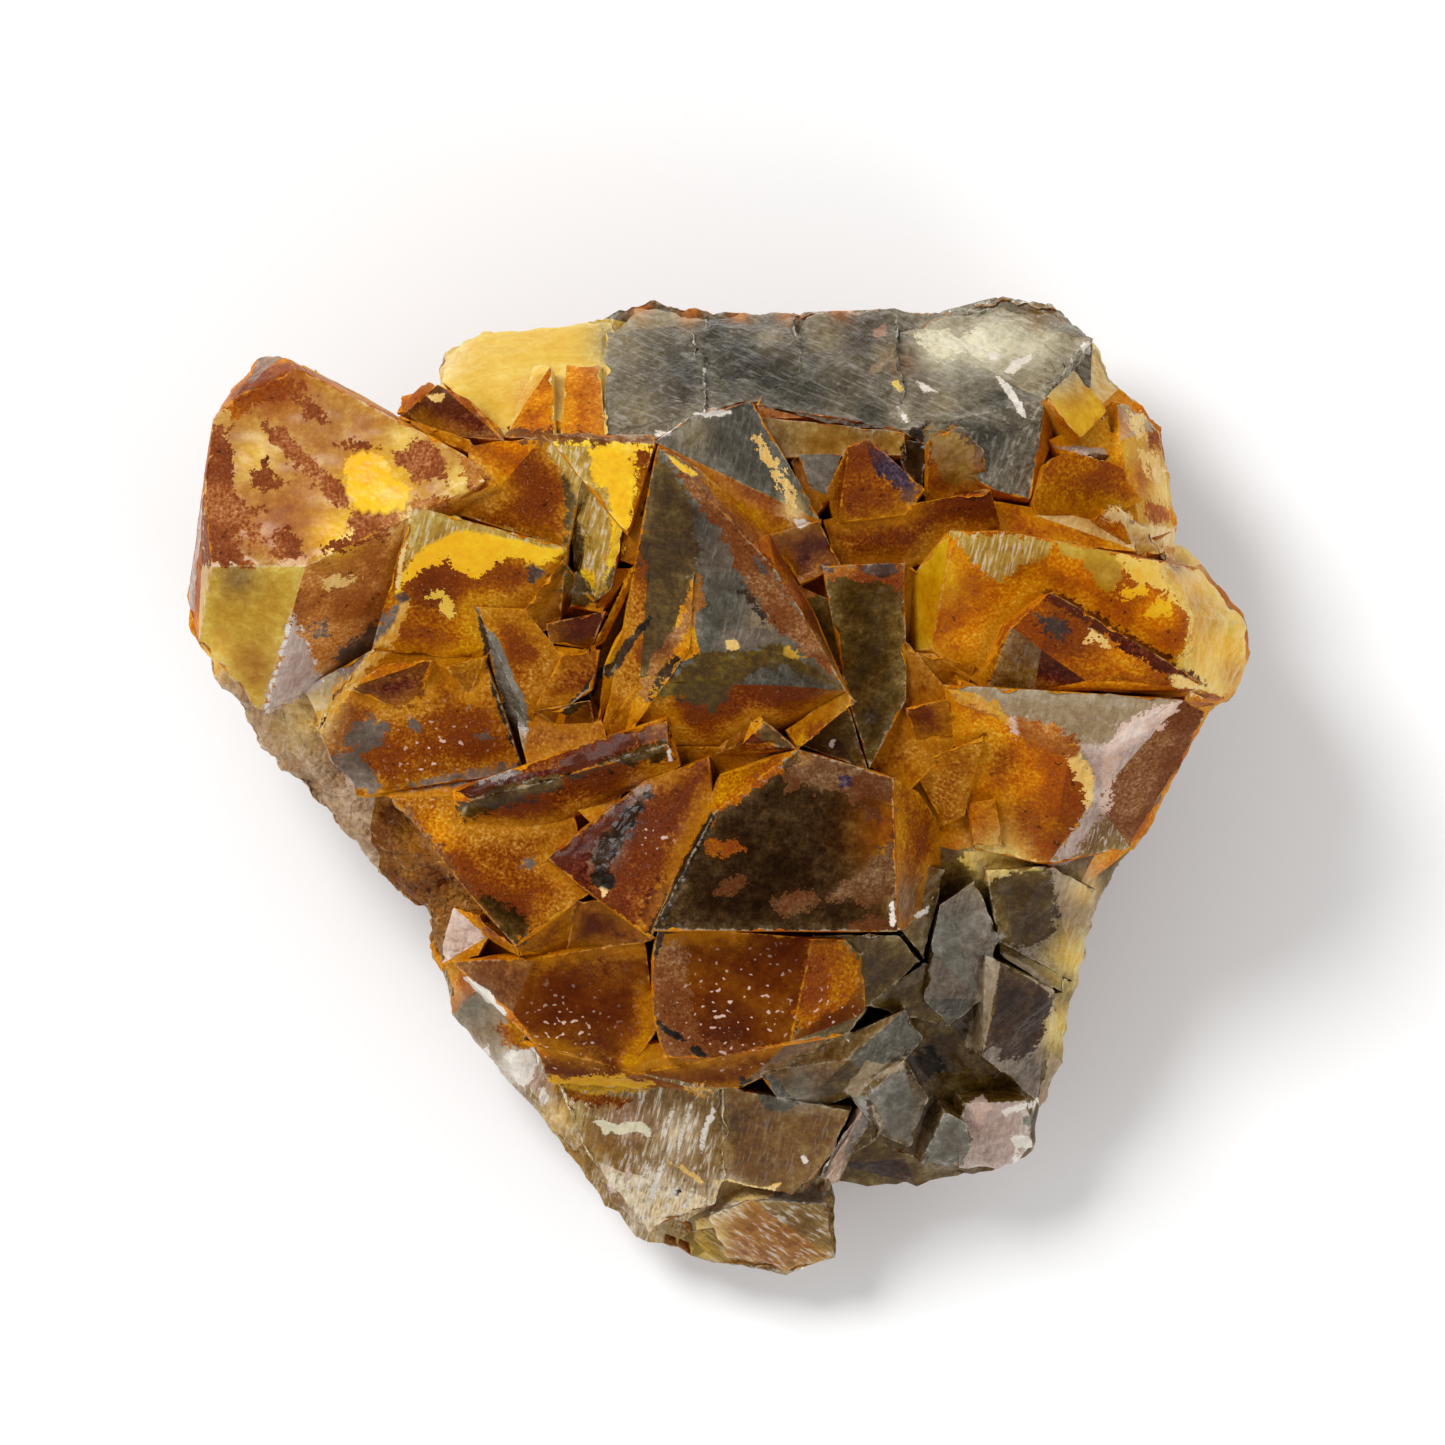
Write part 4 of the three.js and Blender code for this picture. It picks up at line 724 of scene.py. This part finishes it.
def facet_looks(points, triangles, facets):
    """The look of each facet: by its named point, else by its zone, else by where it faces."""
    names = list(LOOKS)
    face_normals = normals_of(points, triangles)
    centres = points[triangles].mean(axis=1)
    count = facets.max() + 1
    size = np.maximum(np.bincount(facets, minlength=count), 1)
    middle = np.stack([np.bincount(facets, centres[:, i], count) / size for i in range(3)], axis=1)
    up = np.bincount(facets, face_normals[:, 2], count) / size
    looks = np.where(middle[:, 2] > BELT, names.index("orange"), names.index("rock_brown"))
    uv = plan(middle)
    for zone, outline in ZONES.items():
        looks[depth_in_outline(uv, outline) > 0] = names.index(zone)
    looks[(middle[:, 2] < ROCK_BELOW) | (up < ROCK_UNDER)] = names.index("rock")
    tree = BVHTree.FromPolygons(points.tolist(), triangles.tolist())
    for look, places in FACETS.items():
        for u, v in places:
            start = Vector(((u - MIDDLE_U) * UNIT, (MIDDLE_V - v) * UNIT, RAY_START))
            hit = tree.ray_cast(start, Vector((0, 0, -1)))[2]
            looks[facets[hit]] = names.index(look)
    return looks


def tinted(points, normals, rows):
    """The look rows of points with clouds mixed in, less low down and on walls, and with stains."""
    names = list(LOOKS)
    table = look_table()
    uv = plan(points)
    open_side = fade(points[:, 2], *TINT_HEIGHTS) * fade(normals[:, 2], *TINT_SLOPES)
    for name, u, v, reach in TINTS:
        share = np.exp(-((uv - (u, v)) ** 2).sum(axis=1) / reach ** 2)
        share *= TINT_SHARE * open_side
        rows = rows + (table[names.index(name)] - rows) * share[:, None]
    # Steep walls are stained brown toward the ground.
    stain = fade(normals[:, 2], *STAIN_SLOPES) * fade(points[:, 2], *STAIN_HEIGHTS)
    return rows + (table[names.index("rock_brown")] - rows) * stain[:, None]


def patch_values(points, normals, patches):
    """For each corner, how far inside a patch it is in mm, and the look of the nearest patch."""
    names = list(LOOKS)
    uv = plan(points)
    depth = np.full(len(points), -PATCH_REACH)
    look = np.zeros(len(points), int)
    upward = (normals[:, 2] > PATCH_SLOPE) & (points[:, 2] > PATCH_ABOVE)
    for name, outline in patches:
        corners = np.array(outline, float)
        low, high = corners.min(axis=0) - PATCH_REACH, corners.max(axis=0) + PATCH_REACH
        near = np.nonzero(upward & (uv > low).all(axis=1) & (uv < high).all(axis=1))[0]
        here = depth_in_outline(uv[near], outline)
        better = here > depth[near]
        depth[near[better]] = here[better]
        look[near[better]] = names.index(name)
    return depth * UNIT, look


def displaced(points, triangles, relief, ridge):
    """The mesh with broken ground cut into small cleavage faces, and with worn edges."""
    face_normals = normals_of(points, triangles)
    smooth = np.zeros_like(points)
    for i in range(3):
        np.add.at(smooth, triangles[:, i], face_normals)
    smooth /= np.maximum(np.linalg.norm(smooth, axis=1, keepdims=True), 1e-9)
    shift = np.zeros(len(points))
    lattice = Euler(CLEAVAGE).to_matrix()
    for i, p in enumerate(points):
        here = Vector(p)
        amount = relief[i]
        if amount > CLEAVED_FROM:
            turned = lattice @ here
            for size, height in CLEAVAGE_SIZES:
                near = noise.voronoi(turned / size, distance_metric="MANHATTAN")[0][0]
                shift[i] += amount * height * (CLEAVAGE_LEVEL - near)
        shift[i] += SWELL * noise.fractal(here * SWELL_SCALE, 1.0, 2.0, 3)
        if ridge[i] < WORN_REACH:
            chip = max(0.0, noise.noise(here * CHIP_SCALE) - CHIP_FROM) * CHIP
            shift[i] -= (WEAR + chip) * (1 - ridge[i] / WORN_REACH) ** 2
    return points + smooth * shift[:, None]


def add_values(mesh, name, kind, domain, values):
    field = "color" if kind == "FLOAT_COLOR" else "value"
    made = mesh.attributes.new(name, kind, domain)
    made.data.foreach_set(field, np.ascontiguousarray(values, dtype=np.float32).ravel())


def build_specimen(node):
    points, triangles, facets = facet_mesh(node)
    lines = feature_lines(points, triangles, facets)
    points, triangles, facets = refine(points, triangles, facets)
    looks = facet_looks(points, triangles, facets)
    table = look_table()
    of_face = table[looks[facets]]
    relief = np.zeros(len(points))
    count = np.zeros(len(points))
    for i in range(3):
        np.add.at(relief, triangles[:, i], of_face[:, RELIEF])
        np.add.at(count, triangles[:, i], 1)
    relief /= count
    ridge = distances(points, lines["ridge"])
    crease = distances(points, lines["crease"])
    corner_normals = np.repeat(normals_of(points, triangles), 3, axis=0)
    corner_points = points[triangles].reshape(-1, 3)
    grain = np.zeros(len(points))
    uv = plan(points)
    for u, v, reach in GRAINS:
        grain = np.maximum(grain, np.exp(-((uv - (u, v)) ** 2).sum(axis=1) / reach ** 2))
    lean = np.where(depth_in_outline(uv, BLOCK) > 0, BLOCK_LEAN, LEAN)
    lean = np.where(depth_in_outline(uv, ZONES["smoke"]) > 0, BANK_LEAN, lean)
    moved = displaced(points, triangles, relief, ridge)
    moved = np.clip(moved, np.array(cad_box[0]) / MM, np.array(cad_box[1]) / MM)
    mesh = bpy.data.meshes.new("specimen")
    mesh.from_pydata((moved * MM).tolist(), [], triangles.tolist())
    mesh.polygons.foreach_set("use_smooth", np.ones(len(triangles), bool))
    mesh.set_sharp_from_angle(angle=math.radians(SHARP_ANGLE))
    for name, values in (("ridge", ridge), ("crease", crease), ("grain", grain), ("lean", lean)):
        add_values(mesh, name, "FLOAT", "POINT", values)
    layers = {"facet": tinted(corner_points, corner_normals, np.repeat(of_face, 3, axis=0))}
    for name, patches in (("patch", PATCHES), ("fleck", FLECKS)):
        depth, look = patch_values(corner_points, corner_normals, patches)
        add_values(mesh, name + "_depth", "FLOAT", "CORNER", depth)
        layers[name] = table[look]
    for name, rows in layers.items():
        add_values(mesh, name + "_colour", "FLOAT_COLOR", "CORNER", rows[:, [0, 1, 2, FIBRE]])
        add_values(mesh, name + "_finish", "FLOAT_COLOR", "CORNER", rows[:, [3, 4, 5, RELIEF]])
    mesh.update()
    piece = bpy.data.objects.new("specimen", mesh)
    bpy.context.scene.collection.objects.link(piece)
    return piece


class Tree:
    """Adds linked shader nodes to a material."""

    def __init__(self, name):
        self.material = bpy.data.materials.new(name)
        self.material.use_nodes = True
        self.nodes = self.material.node_tree.nodes
        self.links = self.material.node_tree.links
        self.shader = self.nodes["Principled BSDF"]
        self.out = self.nodes["Material Output"]

    def put(self, socket, value):
        if isinstance(value, bpy.types.NodeSocket):
            self.links.new(value, socket)
        else:
            socket.default_value = value

    def node(self, kind, inputs, output, **settings):
        made = self.nodes.new(kind)
        for name, value in settings.items():
            setattr(made, name, value)
        for name, value in inputs.items():
            self.put(made.inputs[name], value)
        return made.outputs[output]

    def attribute(self, name, output="Fac"):
        return self.node("ShaderNodeAttribute", {}, output, attribute_name=name)

    def math(self, operation, a, b):
        return self.node("ShaderNodeMath", {0: a, 1: b}, 0, operation=operation)

    def product(self, *values):
        total = values[0]
        for value in values[1:]:
            total = self.math("MULTIPLY", total, value)
        return total

    def noise(self, where, scale, detail, roughness=0.5):
        return self.node("ShaderNodeTexNoise", {"Vector": where, "Scale": scale, "Detail": detail,
                                                "Roughness": roughness}, "Fac")

    def cells(self, where, scale):
        return self.node("ShaderNodeTexVoronoi", {"Vector": where, "Scale": scale}, "Distance",
                         distance="MANHATTAN")

    def ramp(self, value, low, high, start=0.0, end=1.0, kind="SMOOTHSTEP"):
        """Value between low and high, as start to end, clamped."""
        return self.node("ShaderNodeMapRange", {"Value": value, "From Min": low, "From Max": high,
                                                "To Min": start, "To Max": end}, 0,
                         interpolation_type=kind)

    def mix(self, share, a, b):
        """A colour between a and b."""
        made = self.nodes.new("ShaderNodeMix")
        made.data_type = "RGBA"
        self.put(made.inputs[0], share)
        self.put(made.inputs[6], a)
        self.put(made.inputs[7], b)
        return made.outputs[2]

    def blend(self, share, a, b):
        """A number between a and b."""
        made = self.nodes.new("ShaderNodeMix")
        self.put(made.inputs[0], share)
        self.put(made.inputs[2], a)
        self.put(made.inputs[3], b)
        return made.outputs[0]

    def shade(self, colour, factor):
        """A colour times a number."""
        return self.node("ShaderNodeVectorMath", {0: colour, "Scale": factor}, 0,
                         operation="SCALE")

    def parts(self, colour):
        split = self.node("ShaderNodeSeparateColor", {0: colour}, 0).node
        return [split.outputs[i] for i in range(3)]


# How wide the seam of a patch is to each side of its edge, in mm.
SEAM = 0.03


def layered(t, ragged, crisp):
    """The colour, finish and fibre of facet, patch and fleck over each other."""
    colour = t.attribute("facet_colour", "Color")
    finish = t.attribute("facet_finish", "Color")
    fibre = t.attribute("facet_colour", "Alpha")
    for layer, edge in (("patch", ragged), ("fleck", crisp)):
        depth = t.math("ADD", t.attribute(layer + "_depth"), edge)
        share = t.ramp(depth, -SEAM, SEAM, kind="LINEAR")
        colour = t.mix(share, colour, t.attribute(layer + "_colour", "Color"))
        finish = t.mix(share, finish, t.attribute(layer + "_finish", "Color"))
        fibre = t.blend(share, fibre, t.attribute(layer + "_colour", "Alpha"))
    return colour, finish, fibre


FLUORITE_IOR = 1.434


def fluorite():
    t = Tree("fluorite")
    where = t.node("ShaderNodeVectorMath", {0: t.node("ShaderNodeTexCoord", {}, "Object"),
                                            "Scale": 1 / MM}, 0, operation="SCALE")
    broad = t.ramp(t.noise(where, 0.3, 2.0), 0.35, 0.65, -1.0, 1.0)
    mottle = t.ramp(t.noise(where, 1.7, 3.0, 0.8), 0.3, 0.7, -1.0, 1.0, "LINEAR")
    grain = t.ramp(t.noise(where, 5.5, 1.5, 0.7), 0.3, 0.7, -1.0, 1.0, "LINEAR")
    specks = t.noise(where, 3.6, 0.0)
    colour, finish, fibre = layered(t, t.product(mottle, 0.4), t.product(mottle, 0.12))
    bare, clear, rough = t.parts(finish)
    coated = t.math("SUBTRACT", 1.0, bare)
    matte = t.product(t.ramp(rough, 0.27, 0.42), coated)
    ridge = t.attribute("ridge")
    crease = t.attribute("crease")

    # The colour is deepened unevenly, as thicker stone and thicker coat would do.
    thick = t.math("ADD", 1.0, t.product(broad, t.blend(coated, 0.1, 0.16)))
    thick = t.math("ADD", thick, t.product(mottle, t.blend(coated, 0.24, 0.14)))
    thick = t.math("ADD", thick, t.product(grain, t.blend(matte, 0.04, 0.28)))
    thick = t.math("SUBTRACT", thick, t.product(t.ramp(crease, 1.9, 0.0), coated, 0.3))
    # Bare stone is lighter near convex edges: part of the painted edge highlight.
    thick = t.math("SUBTRACT", thick, t.product(t.ramp(ridge, 1.2, 0.0), bare, 0.25))
    colour = t.node("ShaderNodeGamma", {0: colour, 1: t.math("MAXIMUM", thick, 0.3)}, 0)

    # Away from the creases the coat is a redder crust, with dark specks and pale grains.
    out = t.ramp(t.math("ADD", crease, t.product(mottle, 0.5)), 0.3, 1.5)
    crust = t.product(out, t.ramp(broad, -0.9, 0.5), matte)
    colour = t.mix(t.product(crust, 0.45), colour, opaque("#68300f"))
    dark_specks = t.product(t.ramp(specks, 0.27, 0.22), crust)
    colour = t.mix(t.product(dark_specks, 0.75), colour, (0.03, 0.008, 0.001, 1))
    common = t.product(t.ramp(grain, 0.7, 1.0), crust)
    colour = t.mix(t.product(common, 0.3), colour, opaque("#c08a5c"))
    dots = t.product(t.ramp(specks, 0.72, 0.76), t.attribute("grain"), coated)
    colour = t.mix(t.product(dots, 0.9), colour, (0.7, 0.5, 0.4, 1))

    # Ochre lies thick in the creases. Convex edges carry a painted highlight: bright orange on coated
    # edges and pale on bare ones.
    reach = t.math("ADD", crease, t.product(mottle, 0.3))
    hollow = t.product(t.ramp(reach, 1.2, 0.0), coated)
    colour = t.mix(t.product(hollow, 0.6), colour, opaque("#a86a04"))
    edge = t.ramp(t.math("ADD", ridge, t.product(mottle, 0.1)), 0.12, 0.0)
    colour = t.mix(t.product(edge, coated, 0.6), colour, opaque("#d48d14"))
    colour = t.mix(t.product(edge, bare, 0.3), colour, opaque("#e4d8bc"))

    # Fibres and veils of the clear ground, as colour on its surface.
    turned = t.node("ShaderNodeVectorRotate", {"Vector": where, "Angle": t.attribute("lean")}, 0,
                    rotation_type="Z_AXIS")
    drawn = t.node("ShaderNodeVectorMath", {0: turned, 1: (5.6, 0.45, 1.4)}, 0,
                   operation="MULTIPLY")
    streaks = t.noise(drawn, 1.0, 2.0, 0.65)
    veils = t.product(t.ramp(streaks, 0.52, 0.66), fibre, 0.8)
    colour = t.mix(veils, colour, opaque("#f6efdf"))
    colour = t.shade(colour, t.blend(fibre, 1.0, t.ramp(streaks, 0.3, 0.52, 0.45, 1.1)))

    t.put(t.shader.inputs["Base Color"], colour)
    t.put(t.shader.inputs["Roughness"], t.math("ADD", rough, t.product(grain, coated, 0.1)))
    t.put(t.shader.inputs["Transmission Weight"], clear)
    t.put(t.shader.inputs["Coat Weight"], t.product(bare, 0.22))
    t.shader.inputs["Coat Roughness"].default_value = 0.12
    t.shader.inputs["Coat IOR"].default_value = FLUORITE_IOR
    t.shader.inputs["Specular IOR Level"].default_value = 0.04
    t.shader.inputs["IOR"].default_value = FLUORITE_IOR

    # Relief: small cleavage faces and fibres.
    facet_relief = t.attribute("facet_finish", "Alpha")
    facet_fibre = t.attribute("facet_colour", "Alpha")
    lattice = t.node("ShaderNodeVectorRotate", {"Vector": where, "Rotation": CLEAVAGE}, 0,
                     rotation_type="EULER_XYZ")
    height = t.product(t.cells(lattice, 2.2), facet_relief, -0.26)
    height = t.math("ADD", height, t.product(streaks, facet_fibre, 0.35))
    bump = t.node("ShaderNodeBump", {"Height": height, "Distance": MM, "Strength": 1.0}, 0)
    t.put(t.shader.inputs["Normal"], bump)

    absorb = t.nodes.new("ShaderNodeVolumeAbsorption")
    absorb.inputs["Color"].default_value = (0.93, 0.7, 0.25, 1)
    absorb.inputs["Density"].default_value = 150.0
    t.links.new(absorb.outputs[0], t.out.inputs["Volume"])
    return t.material


def pale(name, colour):
    t = Tree(name)
    t.shader.inputs["Base Color"].default_value = (*colour, 1)
    t.shader.inputs["Roughness"].default_value = 0.9
    return t.material


# The point that both lamps look at.
LIGHT_AIM = (0, 0, 0.012)


def area_light(name, place, size, power):
    light = bpy.data.lights.new(name, "AREA")
    light.shape = "DISK"
    light.size = size
    light.energy = power
    lamp = bpy.data.objects.new(name, light)
    lamp.location = place
    lamp.rotation_euler = (Vector(LIGHT_AIM) - Vector(place)).to_track_quat("-Z", "Y").to_euler()
    bpy.context.scene.collection.objects.link(lamp)


def studio_sky():
    """A soft room: bright all round, darker overhead, so that flat faces keep their colour."""
    world = bpy.data.worlds.new("studio")
    bpy.context.scene.world = world
    world.use_nodes = True
    nodes, links = world.node_tree.nodes, world.node_tree.links
    direction = nodes.new("ShaderNodeTexCoord")
    split = nodes.new("ShaderNodeSeparateXYZ")
    level = nodes.new("ShaderNodeMapRange")
    level.interpolation_type = "SMOOTHSTEP"
    for name, value in (("From Min", 0.55), ("From Max", 0.98), ("To Min", 1.0), ("To Max", 0.1)):
        level.inputs[name].default_value = value
    links.new(direction.outputs["Generated"], split.inputs[0])
    links.new(split.outputs[2], level.inputs["Value"])
    links.new(level.outputs[0], nodes["Background"].inputs["Strength"])
    nodes["Background"].inputs["Color"].default_value = (1, 1, 1, 1)


def build_stage():
    mesh = bpy.data.meshes.new("floor")
    half = 1.5
    mesh.from_pydata([(-half, -half, 0), (half, -half, 0), (half, half, 0), (-half, half, 0)], [],
                     [(0, 1, 2, 3)])
    mesh.materials.append(pale("floor", (0.95, 0.95, 0.95)))
    floor = bpy.data.objects.new("floor", mesh)
    bpy.context.scene.collection.objects.link(floor)
    studio_sky()
    area_light("key", (-0.36, 0.36, 0.66), 0.3, 4.5)
    area_light("fill", (0.4, -0.45, 0.5), 0.4, 1.0)


def build_camera():
    frame_width = PHOTO_SIZE * UNIT * MM
    distance = 2.0
    focus = 0.018
    data = bpy.data.cameras.new("camera")
    data.sensor_width = 36.0
    data.lens = data.sensor_width * distance / frame_width
    data.clip_start = 0.5
    data.clip_end = 5.0
    camera = bpy.data.objects.new("camera", data)
    centre = PHOTO_SIZE / 2
    camera.location = ((centre - MIDDLE_U) * UNIT * MM, (MIDDLE_V - centre) * UNIT * MM,
                       distance + focus)
    bpy.context.scene.collection.objects.link(camera)
    bpy.context.scene.camera = camera


specimen = build_specimen(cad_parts["fluorite_cluster"])
specimen.data.materials.append(fluorite())
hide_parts("fluorite_cluster")
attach(specimen, "root")
build_stage()
build_camera()
bpy.context.scene.view_settings.view_transform = "Standard"
